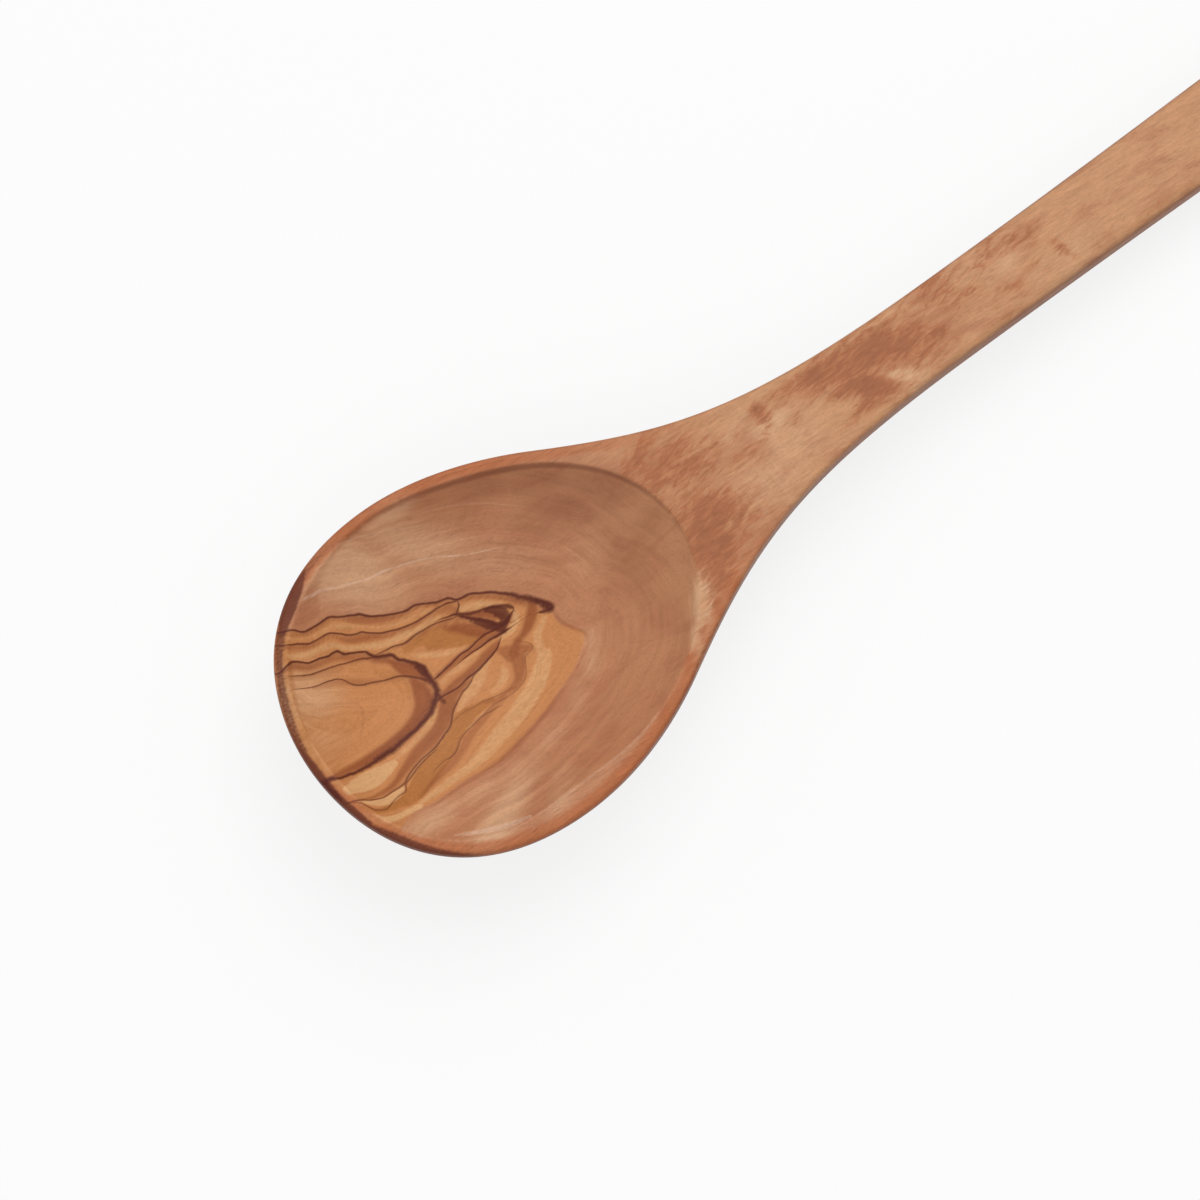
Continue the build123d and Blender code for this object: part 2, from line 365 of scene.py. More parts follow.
# Light early wood between the brown bands
LIGHT_BANDS = {
    "first": (0.45, [
        (284, 638, 25), (300, 639, 35), (318, 634, 50), (332, 627, 60), (345, 626, 60), (360, 627, 40),
        (380, 627, 40), (395, 624, 50), (408, 619, 55), (422, 613, 50), (434, 609, 30),
    ]),
    "second": (0.6, [
        (290, 656, 50), (305, 655, 60), (318, 650, 60), (332, 645, 55), (345, 648, 50), (362, 647, 50),
        (378, 645, 70), (392, 641, 80), (405, 635, 75), (418, 629, 60), (430, 621, 50), (440, 616, 30),
    ]),
    "roof": (0.55, [(462, 608, 70), (470, 607, 90), (480, 604, 80), (490, 603, 60), (502, 603, 30)]),
    "sliver": (0.5, [(412, 656, 40), (425, 655, 70), (440, 654, 75), (455, 651, 60), (468, 646, 30)]),
    "ribs": (0.6, [(479, 652, 30), (470, 659, 45), (460, 667, 45), (450, 674, 40), (441, 683, 30)]),
    "hook_left": (0.6, [
        (515, 612, 60), (516, 620, 80), (512, 628, 80), (506, 634, 60), (500, 640, 30),
    ]),
    "hook_right": (0.5, [(545, 617, 50), (540, 628, 80), (537, 636, 90), (540, 648, 100)]),
    "blob_left": (0.5, [
        (490, 658, 40), (484, 668, 90), (478, 680, 130), (472, 690, 130), (465, 700, 90), (458, 710, 40),
    ]),
    "blob_core": (0.5, [(503, 668, 50), (505, 675, 90), (500, 684, 80), (492, 692, 50)]),
    "eye_out": (0.45, [
        (437, 708, 30), (434, 716, 60), (428, 726, 75), (418, 738, 65), (405, 750, 60), (396, 758, 50),
    ]),
    "low": (1.0, [(348, 790, 90), (360, 785, 160), (372, 779, 180), (384, 771, 130), (394, 763, 60)]),
    "low_two": (1.0, [(403, 788, 30), (396, 795, 70), (386, 801, 80), (374, 803, 50), (364, 802, 25)]),
    "low_three": (1.0, [(365, 815, 50), (380, 820, 70), (395, 818, 60), (408, 812, 50), (420, 806, 50)]),
    "thread": (0.4, [
        (452, 716, 22), (447, 731, 25), (437, 746, 28), (426, 756, 30), (416, 767, 28), (408, 779, 20),
    ]),
    "thread_two": (0.5, [(498, 702, 20), (486, 711, 28), (474, 722, 28), (465, 733, 22)]),
    "right": (0.55, [
        (545, 655, 150), (540, 675, 180), (530, 695, 190), (516, 715, 190), (500, 735, 180),
        (486, 752, 150), (470, 767, 110), (452, 780, 90), (436, 792, 80), (422, 802, 60),
    ]),
}

# The darkest places: the leaf's tip and corners, the end of the upper line and the spot on the rim
DARK_PLACES = {
    "leaf_tip": (1.0, [
        (484, 610, 20), (492, 610, 60), (500, 612, 100), (505, 616, 95), (504, 623, 80), (500, 630, 40),
    ]),
    "leaf_hatch": (0.9, [(470, 620, 15), (479, 622, 60), (489, 625, 80), (498, 628, 60), (505, 631, 25)]),
    "leaf_root": (0.6, [(457, 615, 30), (464, 617, 42), (474, 619, 25)]),
    "upper_end": (0.7, [(536, 601, 40), (544, 605, 70), (549, 608, 60)]),
    "eye_corner": (0.8, [(412, 666, 20), (419, 668, 55), (424, 674, 60)]),
    "eye_join": (0.6, [(437, 694, 20), (441, 698, 55), (446, 704, 20)]),
    "rim_spot": (0.95, [(318, 784, 40), (326, 789, 70), (334, 796, 75), (341, 803, 40)]),
}

# Dark red-brown on the rim's outer edge: partly darker wood, partly painted shade where the rounded edge
# turns away from the light
RIM_MARKS = {
    "left": (0.95, [(304, 572, 30), (297, 587, 105), (290, 604, 135), (285, 620, 105), (281, 636, 50)]),
    "left_low": (0.7, [
        (284, 622, 60), (281, 636, 85), (279, 655, 75), (280, 675, 70), (283, 695, 80), (288, 715, 80),
        (295, 735, 80), (304, 755, 80),
    ]),
    "spot": (0.9, [
        (300, 748, 30), (307, 759, 60), (316, 771, 75), (327, 786, 80), (339, 800, 90), (354, 813, 85),
        (370, 825, 50),
    ]),
    "low": (0.8, [
        (372, 827, 40), (386, 834, 85), (402, 841, 95), (420, 848, 90), (440, 853, 75), (462, 856, 60),
        (485, 857, 45), (508, 853, 35), (532, 845, 30), (555, 834, 25), (580, 819, 20),
    ]),
    "right": (0.5, [
        (580, 819, 20), (606, 800, 20), (630, 777, 20), (652, 750, 20), (672, 718, 20), (688, 687, 20),
        (701, 657, 20), (716, 627, 20), (733, 600, 20),
    ]),
    "left_start": (0.3, [(352, 532, 20), (338, 541, 50), (326, 549, 80), (316, 558, 90), (308, 568, 60)]),
    "left_end": (0.45, [(324, 551, 20), (315, 560, 50), (306, 570, 85), (299, 582, 100)]),
    "top": (0.1, [
        (345, 537, 60), (365, 522, 70), (390, 506, 60), (420, 490, 50), (450, 477, 60), (480, 467, 70),
        (510, 461, 60), (545, 455, 60), (575, 451, 70), (600, 448, 40),
    ]),
}

# Painted sheen: pale lines where light catches the fibres. Then the broad painted highlight by the lower
# rim, and two paler streaks in the heart
PALE_LINES = {
    "long": (1.0, [
        (294, 604, 4), (300, 601, 13), (306, 598, 17), (313, 595, 19), (320, 591, 19), (327, 589, 16),
        (335, 588, 13), (343, 586, 15), (352, 583, 13), (361, 581, 11), (370, 578, 12), (378, 574, 14),
        (386, 570, 13), (394, 568, 11), (405, 564, 13), (415, 561, 10), (424, 559, 11), (436, 557, 8),
        (448, 556, 9), (464, 555, 6), (483, 551, 7), (502, 547, 3),
    ]),
    "short": (0.3, [
        (332, 549, 3), (345, 542, 8), (358, 537, 9), (370, 534, 10), (385, 531, 9), (400, 529, 8),
        (425, 525, 3),
    ]),
    "upper": (0.25, [
        (425, 512, 4), (440, 508, 9), (458, 505, 10), (480, 503, 11), (500, 504, 9), (520, 506, 4),
    ]),
}
PALE_STREAKS = {
    "low": (0.85, [(455, 835, 30), (480, 832, 70), (505, 826, 80), (530, 816, 40)]),
    "heart_two": (0.35, [(403, 788, 20), (396, 795, 60), (386, 801, 70), (374, 803, 40), (364, 802, 20)]),
    "heart_three": (0.25, [(365, 815, 40), (380, 820, 60), (395, 818, 50), (408, 812, 40)]),
}

# The families of drawn lines: their strokes, and the parts that the material draws of them
LINE_FAMILIES = {
    "growth_lines": (GROWTH_LINES, ("core", "shadow")),
    "pale_lines": (PALE_LINES, ("core",)),
}

# The golden heart of the figure: its edge along the upper growth line, up to where that line turns back
# with its last five places, and then round to the rim
HEART_EDGE = [
    (240, 636), *(place[:2] for place in GROWTH_LINES["upper"][1][:-5]),
    (548, 607), (553, 613), (559, 623),
    (570, 627), (584, 631), (585, 641), (580, 654), (575, 667), (568, 679),
    (559, 691), (553, 700), (547, 709), (539, 718), (531, 727), (522, 737),
    (510, 750), (499, 761), (489, 768), (476, 774), (463, 782), (453, 789),
    (443, 796), (435, 802), (425, 806), (415, 810), (408, 818), (401, 830),
    (395, 850), (380, 900), (250, 900),
]

# Soft patches of colour. Each has the pixels across and down of its middle, half its length and half
# its width in millimetres, its lean from the handle's line in degrees, and its strength.
FLAMES = [
    (664, 468, 9, 4, 5, 0.75), (690, 470, 8, 4, 0, 0.65), (716, 448, 4, 2, 40, 0.6),
    (745, 455, 5, 2.4, 10, 0.55), (708, 512, 8, 5, -30, 0.9), (712, 545, 6, 6, -50, 1.0),
    (735, 530, 6, 5, 0, 0.65), (722, 575, 3.6, 5, 0, 0.8), (716, 606, 3, 2, 60, 0.7),
    (706, 632, 3, 2, 60, 0.6), (753, 520, 3, 1.2, 10, 0.8), (760, 414, 3.4, 1.5, -87, 0.85),
    (797, 417, 1.6, 1.2, 0, 0.5), (778, 396, 3, 1.5, 0, 0.5), (800, 384, 7, 2.2, -5, 0.8),
    (836, 367, 9, 3, -5, 1.0), (872, 350, 10, 4.2, -5, 1.0), (912, 345, 8, 5, -10, 0.85),
    (935, 344, 4, 3.5, 0, 0.6), (846, 392, 5, 1.8, -20, 0.6), (866, 385, 7.5, 2.8, -47, 1.05),
    (846, 377, 6, 2.2, -35, 0.85), (868, 405, 5, 1.4, 0, 0.85), (930, 286, 8, 4, 0, 0.6),
    (950, 300, 6, 2.6, 0, 0.45), (983, 258, 7, 3, 0, 0.5), (1018, 241, 5, 2.6, 0, 0.6),
    (988, 240, 4, 2, 0, 0.6), (1062, 248, 3.4, 1, -75, 0.7), (1032, 262, 3, 2, -20, 0.35),
    (955, 292, 6, 1.8, -37, 0.65), (1014, 288, 4, 2, -20, 0.5), (1000, 310, 3, 2, -40, 0.3),
    (1110, 235, 4, 3, 0, 0.25), (1075, 215, 5, 3, 0, 0.2), (1150, 215, 5, 2, 0, 0.35),
    (690, 660, 4, 2, 60, 0.6), (664, 712, 5, 1.5, 55, 0.5), (640, 452, 8, 2, 20, 0.7),
]
# Pale patches of wood; those on the hollow's upper left and along its lower wall are painted highlights
GLOWS = [
    (345, 572, 11, 6, -40, 1.0), (410, 545, 14, 5, -45, 0.7), (480, 560, 12, 4, -40, 0.5),
    (590, 560, 6, 5, 0, 0.3), (500, 820, 12, 3, 25, 1.0), (430, 822, 7, 2.4, 5, 0.8),
    (560, 800, 8, 3, 45, 0.5), (302, 698, 8, 6, 0, 0.8), (322, 738, 7, 6, 0, 0.45),
    (500, 790, 9, 4, 15, 0.4), (790, 440, 9, 6, 0, 0.45), (770, 480, 9, 6, 10, 0.5),
    (735, 425, 8, 3, 10, 0.4), (890, 300, 9, 4, 0, 0.35), (980, 255, 8, 5, 0, 0.5),
    (1008, 262, 5, 2, 8, 0.55), (925, 380, 8, 3, 0, 0.5), (1080, 260, 12, 6, 0, 0.4),
    (392, 505, 4, 2, -8, 1.3), (703, 606, 5.5, 1.7, 53, 1.5), (699, 645, 4.5, 1.3, 57, 1.4),
    (904, 374, 3, 1.2, -25, 1.3), (770, 425, 5, 2, 0, 0.9), (592, 640, 3, 2, 53, 0.5),
    (592, 662, 4, 2, 48, 0.5), (578, 696, 4, 2, 30, 0.4), (552, 738, 5, 2, 12, 0.4),
    (515, 768, 5, 2, 8, 0.4), (480, 792, 6, 2, 0, 0.5), (325, 760, 5, 2.5, 40, 0.3),
]
# Darker patches of wood; those along the hollow's upper and right walls are painted shade
SHADES = [
    (420, 500, 9, 3.2, -20, 0.6), (480, 486, 9, 3, -25, 0.7), (545, 478, 9, 3, -32, 0.8),
    (600, 485, 8, 3.5, -50, 0.9), (570, 505, 9, 4, -40, 0.85), (650, 520, 4, 4, 0, 0.6),
    (345, 530, 5, 2, -10, 0.6), (552, 560, 1.0, 6, 52, 0.6), (630, 560, 7, 9, 0, 0.65),
    (650, 600, 5, 13, 0, 0.5), (625, 625, 6, 7, 0, 0.35), (600, 720, 12, 6, 55, 0.3),
]


def linear(code):
    """Turns an sRGB hex colour to the linear colour that a shader takes."""
    parts = [int(code[i : i + 2], 16) / 255 for i in (1, 3, 5)]
    return [c / 12.92 if c <= 0.04045 else ((c + 0.055) / 1.055) ** 2.4 for c in parts]


def length(name, description, size):
    """A length of the spoon, given in millimetres and kept in metres."""
    return FloatProperty(
        name=name, description=description, default=size * MILLIMETRE, min=0.0, unit="LENGTH"
    )


def colour(name, description, code):
    """A colour of the wood, given as sRGB hex and kept linear."""
    return FloatVectorProperty(
        name=name, description=description, default=linear(code), min=0.0, max=1.0, subtype="COLOR"
    )


class SpoonSizes(bpy.types.PropertyGroup):
    """The spoon's real sizes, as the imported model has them."""

    overall_length: length("Overall length", "From the tip to the handle's end", 320)
    bowl_width: length("Bowl width", "Across the bowl at its widest", 72.4)
    bowl_widest_at: length("Bowl widest at", "From the tip to the widest place", 37.5)
    belly_depth: length("Belly depth", "Thickness of the board at the belly", 22)
    belly_at: length("Belly at", "From the tip to the deepest place", 42)
    tip_height: length("Tip height", "Height of the edge at the tip", 4.8)
    shoulder_at: length("Shoulder at", "From the tip to the shoulder", 70.6)
    waist_at: length("Waist at", "From the tip to the narrowest place", 153)
    waist_width: length("Waist width", "Across the handle at its narrowest", 16.7)
    waist_thickness: length("Waist thickness", "Thickness of the handle at the waist", 8.6)
    end_width: length("End width", "Across the handle's end", 20.4)
    end_thickness: length("End thickness", "Thickness of the handle's end", 7.5)
    end_round_length: length("End round", "Length of the handle's rounded end", 11)
    rim_height: length("Rim height", "Height of the bowl's edge at its widest", 4.4)
    handle_across_radius: length("Handle radius", "Radius of the handle's underside", 60)
    hollow_length: length("Hollow length", "Length of the hollow at the rim", 82)
    tip_rim_width: length("Tip rim width", "Width of the rim at the tip", 2.9)
    side_rim_width: length("Side rim width", "Width of the rim at the sides", 3.5)
    floor_thickness: length("Floor thickness", "Wood left under the hollow", 5.5)
    hollow_lean: length("Hollow lean", "How far the hollow sits to one side at its widest", 1.6)
    rim_softness: length("Rim softness", "How far the hollow's edge is worn round", 0.42)
    bowl_edge_round: length("Bowl edge round", "Rounding of the bowl's upper edge", 1.1)
    handle_edge_round: length("Handle edge round", "Rounding of the handle's upper edge", 2.3)
    lower_edge_round: length("Lower edge round", "Rounding of the lower edge", 2.0)
    belly_flat_depth: length("Belly flat", "How much is sanded off the belly", 0.4)
    hand_wave: length("Hand wave", "How far the hand-worked faces stray", 0.10)


class SpoonColours(bpy.types.PropertyGroup):
    """Colours of oiled olive wood."""

    plain: colour("Plain wood", "Pinkish brown wood round the figure", "#B9805C")
    ruddy: colour("Ruddy wood", "Redder clouds in the plain wood", "#A4664A")
    tan: colour("Handle wood", "Pale tan wood of the handle", "#C08D66")
    golden: colour("Golden wood", "Golden wood between the growth lines", "#C38452")
    ochre: colour("Ochre wood", "Darker ochre zones in the golden wood", "#A96B34")
    light: colour("Early wood", "Light early wood between the bands", "#DBAE7C")
    # The pale colour also paints highlights on the hollow's upper left and lower walls
    pale: colour("Pale wood", "Pale patches", "#DDB48E")
    # The palest colour paints the fibres' sheen, the highlight line at the hollow's edge and the broad
    # highlight by the lower rim
    palest: colour("Palest wood", "Thin streaks where fibres catch the light", "#EBCDB6")
    # The shaded colour paints shade on the hollow's upper and right walls, and the flames' darker cores
    shaded: colour("Shaded wood", "Greyer brown patches", "#935A3E")
    band: colour("Growth band", "Brown late wood beside a growth line", "#8D4B27")
    flame: colour("Flame", "Orange brown flames in the handle", "#A76038")
    rim: colour("Rim", "Red-brown wood of the bowl's rim", "#AE633A")
    # The edge colour also paints shade: the shadow line at the hollow's edge, the darker sides and
    # underside, and part of the dark rim
    edge: colour("Edge", "Dark red-brown end grain on the bowl's edge", "#612C1B")
    halo: colour("Line shadow", "Purplish brown wood beside a growth line", "#7E4230")
    line: colour("Growth line", "Nearly black growth lines", "#4F190E")


def in_millimetres(settings):
    """Copies a group's lengths to plain numbers in millimetres, and adds the half sizes and the lie."""
    names = settings.__annotations__
    s = SimpleNamespace(**{name: getattr(settings, name) / MILLIMETRE for name in names})
    s.bowl_half, s.waist_half, s.end_half = s.bowl_width / 2, s.waist_width / 2, s.end_width / 2
    s.shoulder_half = SHOULDER_WIDTH * s.bowl_half
    s.end_round_at = s.overall_length - s.end_round_length
    bowl_rise = s.belly_depth - s.rim_height
    s.bowl_across_radius = (s.bowl_half**2 + bowl_rise**2) / (2 * bowl_rise)
    s.hollow_half = s.bowl_half - s.side_rim_width
    s.hollow_depth = s.belly_depth - s.floor_thickness
    s.hollow_front = s.bowl_widest_at - s.tip_rim_width
    s.hollow_back = s.hollow_length - s.hollow_front
    s.hollow_axis = (s.hollow_half**2 - s.hollow_depth**2) / (2 * s.hollow_depth)
    contact_at = s.overall_length - s.lower_edge_round / 2
    s.lie = math.atan((s.belly_depth - s.belly_flat_depth - s.end_thickness) / (contact_at - s.belly_at))
    s.tip_x = -s.overall_length * math.cos(s.lie) / 2
    s.tip_z = contact_at * math.sin(s.lie) + s.end_thickness * math.cos(s.lie)
    return s


def to_table(s, u, v, w):
    """From the board (along, across, above its face) to the table's X, Y, Z: a turn by the lie."""
    x = s.tip_x + u * math.cos(s.lie) + w * math.sin(s.lie)
    return x, v, s.tip_z - u * math.sin(s.lie) + w * math.cos(s.lie)


def to_board(s, x, y, z):
    """From the table back to the board: the same turn undone."""
    dx, dz = x - s.tip_x, z - s.tip_z
    return dx * math.cos(s.lie) - dz * math.sin(s.lie), y, dx * math.sin(s.lie) + dz * math.cos(s.lie)


def blend_curve(points, count=400):
    """A cubic curve: four points weighted by (1-t)^3, 3t(1-t)^2, 3t^2(1-t) and t^3."""
    t = np.linspace(0, 1, count)[:, None]
    a, b, c, d = np.array(points, float)
    return (1 - t) ** 3 * a + 3 * t * (1 - t) ** 2 * b + 3 * t * t * (1 - t) * c + t**3 * d


def half_outline(s):
    """One long side of the spoon in plan: five cubic curves end to end, from the tip to the end."""
    reach = SHOULDER_FRONT * (s.shoulder_at - s.bowl_widest_at)
    leave = SHOULDER_BACK * (s.waist_at - s.shoulder_at)
    handle = s.end_round_at - s.waist_at
    tip, widest = (0, 0), (s.bowl_widest_at, s.bowl_half)
    shoulder, waist = (s.shoulder_at, s.shoulder_half), (s.waist_at, s.waist_half)
    corner, end = (s.end_round_at, s.end_half), (s.overall_length, 0)
    curves = [
        (tip, (0, TIP_SIDE * s.bowl_half), ((1 - TIP_FRONT) * s.bowl_widest_at, s.bowl_half), widest),
        (
            widest,
            (s.bowl_widest_at + reach, s.bowl_half),
            (s.shoulder_at - reach, s.shoulder_half + SHOULDER_SLOPE * reach),
            shoulder,
        ),
        (
            shoulder,
            (s.shoulder_at + leave, s.shoulder_half - SHOULDER_SLOPE * leave),
            (s.waist_at - WAIST_FRONT * (s.waist_at - s.shoulder_at), s.waist_half),
            waist,
        ),
        (
            waist,
            (s.waist_at + WAIST_BACK * handle, s.waist_half),
            (s.end_round_at - END_FRONT * handle, s.end_half),
            corner,
        ),
        (
            corner,
            (s.end_round_at + END_CORNER * s.end_round_length, s.end_half),
            (s.overall_length, END_CORNER * s.end_half),
            end,
        ),
    ]
    return np.concatenate([blend_curve(c)[:-1] for c in curves] + [np.array([end], float)])


def hollow_edge(s):
    """One side of the hollow at the rim: a cubic curve ahead of its widest place and one behind it."""
    mid = s.bowl_widest_at
    front = blend_curve(
        [
            (mid - s.hollow_front, 0),
            (mid - s.hollow_front, HOLLOW_SIDE * s.hollow_half),
            (mid - TIP_FRONT * s.hollow_front, s.hollow_half),
            (mid, s.hollow_half),
        ]
    )
    back = blend_curve(
        [
            (mid, s.hollow_half),
            (mid + HOLLOW_BACK * s.hollow_back, s.hollow_half),
            (mid + s.hollow_back, HOLLOW_BACK * s.hollow_half),
            (mid + s.hollow_back, 0),
        ]
    )
    return np.concatenate([front[:-1], back])


def keel_depth(s, u):
    """Depth of the keel below the face: a power curve to the belly, a raised cosine, then a line."""
    front = 1 - np.clip(u / s.belly_at, 0, 1)
    ahead = s.tip_height + (s.belly_depth - s.tip_height) * (1 - front**FRONT_KEEL_POWER)
    gone = np.clip((u - s.belly_at) / (s.waist_at - s.belly_at), 0, 1)
    wave = ((1 + np.cos(np.pi * gone)) / 2) ** BACK_KEEL_POWER
    behind = s.waist_thickness + (s.belly_depth - s.waist_thickness) * wave
    along = np.clip((u - s.waist_at) / (s.overall_length - s.waist_at), 0, 1)
    handle = (s.end_thickness - s.waist_thickness) * along
    return np.where(u <= s.belly_at, ahead, behind + handle)


def underside(s, u, v):
    """Height of the underside: an arc across the spoon whose lowest point is the keel."""
    along = np.clip((u - s.belly_at) / (s.waist_at - s.belly_at), 0, 1)
    radius = s.bowl_across_radius + (s.handle_across_radius - s.bowl_across_radius) * along
    return radius - np.sqrt(radius**2 - v**2) - keel_depth(s, u)


def bell(values, middle, width):
    """A bell curve: 1 at its middle and 1/e at its width from there."""
    return np.exp(-(((values - middle) / width) ** 2))


def hollow_shift(s, u):
    """How far the hollow's middle line lies to one side: a bell curve at the bowl's widest place."""
    return s.hollow_lean * bell(u, s.bowl_widest_at, LEAN_REACH)


def topside(s, u, v):
    """Height of the top: the flat face or the hollow, whichever is lower, with a soft edge between.

    The hollow's sections across the spoon are arcs about one axis above the rim, as wide as its edge."""
    edge = hollow_edge(s)
    squared = edge[:, 1] ** 2
    front_slope = (squared[1] - squared[0]) / (edge[1, 0] - edge[0, 0])
    back_slope = (squared[-1] - squared[-2]) / (edge[-1, 0] - edge[-2, 0])
    half_squared = np.interp(u, edge[:, 0], squared)
    half_squared += front_slope * np.minimum(u - edge[0, 0], 0)
    half_squared += back_slope * np.maximum(u - edge[-1, 0], 0)
    side = v - hollow_shift(s, u)
    inside = np.maximum(half_squared + s.hollow_axis**2 - side**2, 0)
    hollow = s.hollow_axis - np.sqrt(inside)
    near = np.maximum(1 - np.abs(hollow) / s.rim_softness, 0)
    return np.minimum(hollow, 0) - near**2 * s.rim_softness / 4


def run_along(curve):
    """How far along a plan curve each of its points lies: its steps' lengths added up."""
    return np.concatenate([[0], np.cumsum(np.hypot(*np.diff(curve, axis=0).T))])


def along_curve(curve, places):
    """Points of a plan curve at given lengths along it."""
    run = run_along(curve)
    return np.stack([np.interp(places, run, curve[:, k]) for k in (0, 1)], 1)


def between(a, b, shares):
    """Points at given shares of the way from each a to its b."""
    return a[:, None, :] + (b - a)[:, None, :] * shares[None, :, None]


def towards(a, b, distances):
    """Points at given distances from each a towards its b, but at most a share of the way."""
    gap = np.maximum(np.hypot(*(b - a).T), 1e-9)[:, None]
    distance = np.minimum(distances[None, :], gap * EDGE_OFFSET_SHARE)
    return a[:, None, :] + ((b - a) / gap)[:, None, :] * distance[:, :, None]


def rounded_edge(rim, out, radius, angles):
    """Points of quarter circles inside the outline, at given angles, and how far they leave the face:
    the sine sets how far out each is, and the cosine how far from the face."""
    inward = radius[:, None] * (1 - np.sin(angles))
    return rim[:, None, :] - out[:, None, :] * inward[:, :, None], radius[:, None] * (1 - np.cos(angles))


def spoon_surface(s):
    """The spoon's whole skin on a grid of columns round the outline and rows from the top's middle line,
    over the hollow, the rim, the rounded edges and the side, to the underside's middle line.

    A column joins a point of the hollow's edge to a point of the outline. Beyond the hollow it runs
    from the middle line of the handle. Rounded edges are quarter circles laid on the faces they join."""
    outline, edge = half_outline(s), hollow_edge(s)
    outline_run, edge_run = run_along(outline), run_along(edge)
    middle, back_end = s.bowl_widest_at, edge[-1, 0]

    # where the columns of one side meet the hollow's edge and the outline, and the outline's way out
    hollow_at = along_curve(edge, np.linspace(0, edge_run[-1], BOWL_COLUMNS + 1))
    turn = np.arctan2(hollow_at[:, 1], hollow_at[:, 0] - middle)
    outline_turn = np.arctan2(outline[:, 1], outline[:, 0] - middle)
    ease = 2 - COLUMN_BEND / (COLUMN_BEND - LAST_COLUMN)
    share = np.clip(turn / COLUMN_BEND, 0, 1)
    leaning = LAST_COLUMN + (COLUMN_BEND - LAST_COLUMN) * (ease * share + (1 - ease) * share**2)
    aimed = np.where(turn > COLUMN_BEND, turn, leaning)
    bowl_runs = np.interp(-aimed, -outline_turn, outline_run)
    end_run = np.interp(s.end_round_at, outline[:, 0], outline_run)
    handle_runs = np.linspace(bowl_runs[-1], end_run, HANDLE_COLUMNS + 1)[1:]
    end_runs = np.linspace(end_run, outline_run[-1], END_COLUMNS + 1)[1:]
    runs = np.concatenate([bowl_runs, handle_runs, end_runs])
    half_at = along_curve(outline, runs)
    ahead = along_curve(outline, np.minimum(runs + DIRECTION_REACH, outline_run[-1]))
    step = ahead - along_curve(outline, np.maximum(runs - DIRECTION_REACH, 0))
    step[0], step[-1] = (0, 1), (0, -1)
    half_out = np.stack([-step[:, 1], step[:, 0]], 1) / np.hypot(*step.T)[:, None]

    # the middle lines of the top, where the columns start, and of the underside, where they end
    bowl, handle = slice(BOWL_COLUMNS + 1), slice(BOWL_COLUMNS + 1, None)
    turning, reach = half_at[BOWL_COLUMNS, 0], s.overall_length - SPINE_SHORT
    beyond = (half_at[handle, 0] - turning) / (s.overall_length - turning)
    top_spine, under_spine = np.zeros((2, len(runs), 2))
    top_spine[bowl, 0] = middle + SPINE_SHARE * (hollow_at[:, 0] - middle)
    top_spine[handle, 0] = back_end + (reach - back_end) * beyond
    under_spine[bowl, 0] = UNDER_SPINE_START + half_at[bowl, 0] * (turning - UNDER_SPINE_START) / turning
    under_spine[handle, 0] = turning + (reach - turning) * beyond
    inner = top_spine.copy()
    inner[bowl] = hollow_at

    # the whole loop: up one side and back down the other
    last = len(runs) - 1
    index = np.concatenate([np.arange(last + 1), np.arange(last - 1, 0, -1)])
    side = np.where(np.arange(len(index)) <= last, 1.0, -1.0)
    mirror = np.stack([np.ones_like(side), side], 1)
    rim, out = half_at[index] * mirror, half_out[index] * mirror
    inner, top_spine, under_spine = inner[index] * mirror, top_spine[index], under_spine[index]
    in_bowl = index <= BOWL_COLUMNS
    inner[in_bowl, 1] += hollow_shift(s, inner[in_bowl, 0])

    # the hollow and the flat round it, with close rows on both sides of the hollow's edge
    handle_share = np.clip((rim[:, 0] - HANDLE_EDGE_START) / HANDLE_EDGE_SPAN, 0, 1)
    upper = s.bowl_edge_round + (s.handle_edge_round - s.bowl_edge_round) * handle_share**HANDLE_EDGE_POWER
    lower = np.full_like(upper, s.lower_edge_round)
    rim_start, under_start = rim - out * upper[:, None], rim - out * lower[:, None]
    near_edge = np.array(EDGE_OFFSETS)
    hollow_near = towards(inner, top_spine, near_edge[::-1])
    hollow_far = between(top_spine, hollow_near[:, 0], np.linspace(0, 1, HOLLOW_ROWS))
    hollow_rows = np.concatenate([hollow_far, hollow_near[:, 1:]], 1)
    hollow_rows[~in_bowl] = inner[~in_bowl][:, None, :]
    rim_near = towards(inner, rim_start, near_edge)
    rim_far = between(rim_near[:, -1], rim_start, np.linspace(0, 1, RIM_ROWS)[1:])
    flat = np.concatenate([hollow_rows, inner[:, None, :], rim_near, rim_far], 1)
    flat_height = topside(s, flat[:, :, 0], flat[:, :, 1])

    # the rounded edges, the side between them and the underside
    angles = np.linspace(0, np.pi / 2, ROUND_ROWS + 1)[1:]
    top_round, drop = rounded_edge(rim, out, upper, angles)
    top_round_height = topside(s, top_round[:, :, 0], top_round[:, :, 1]) - drop
    low_round, rise = rounded_edge(rim, out, lower, angles[::-1] - np.pi / 2 / ROUND_ROWS)
    low_round_height = underside(s, low_round[:, :, 0], low_round[:, :, 1]) + rise
    wall_top, wall_low = top_round_height[:, -1:], underside(s, rim[:, :1], rim[:, 1:]) + lower[:, None]
    wall = np.repeat(rim[:, None, :], SIDE_ROWS + 1, 1)
    wall_height = wall_top + (wall_low - wall_top) * np.linspace(0, 1, SIDE_ROWS + 2)[1:]
    under = between(under_start, under_spine, np.linspace(0, 1, UNDER_ROWS + 1)[1:])
    under_height = underside(s, under[:, :, 0], under[:, :, 1])

    plan = np.concatenate([flat, top_round, wall, low_round, under], 1)
    height = np.concatenate([flat_height, top_round_height, wall_height, low_round_height, under_height], 1)
    return plan, height, index, hollow_rows.shape[1]


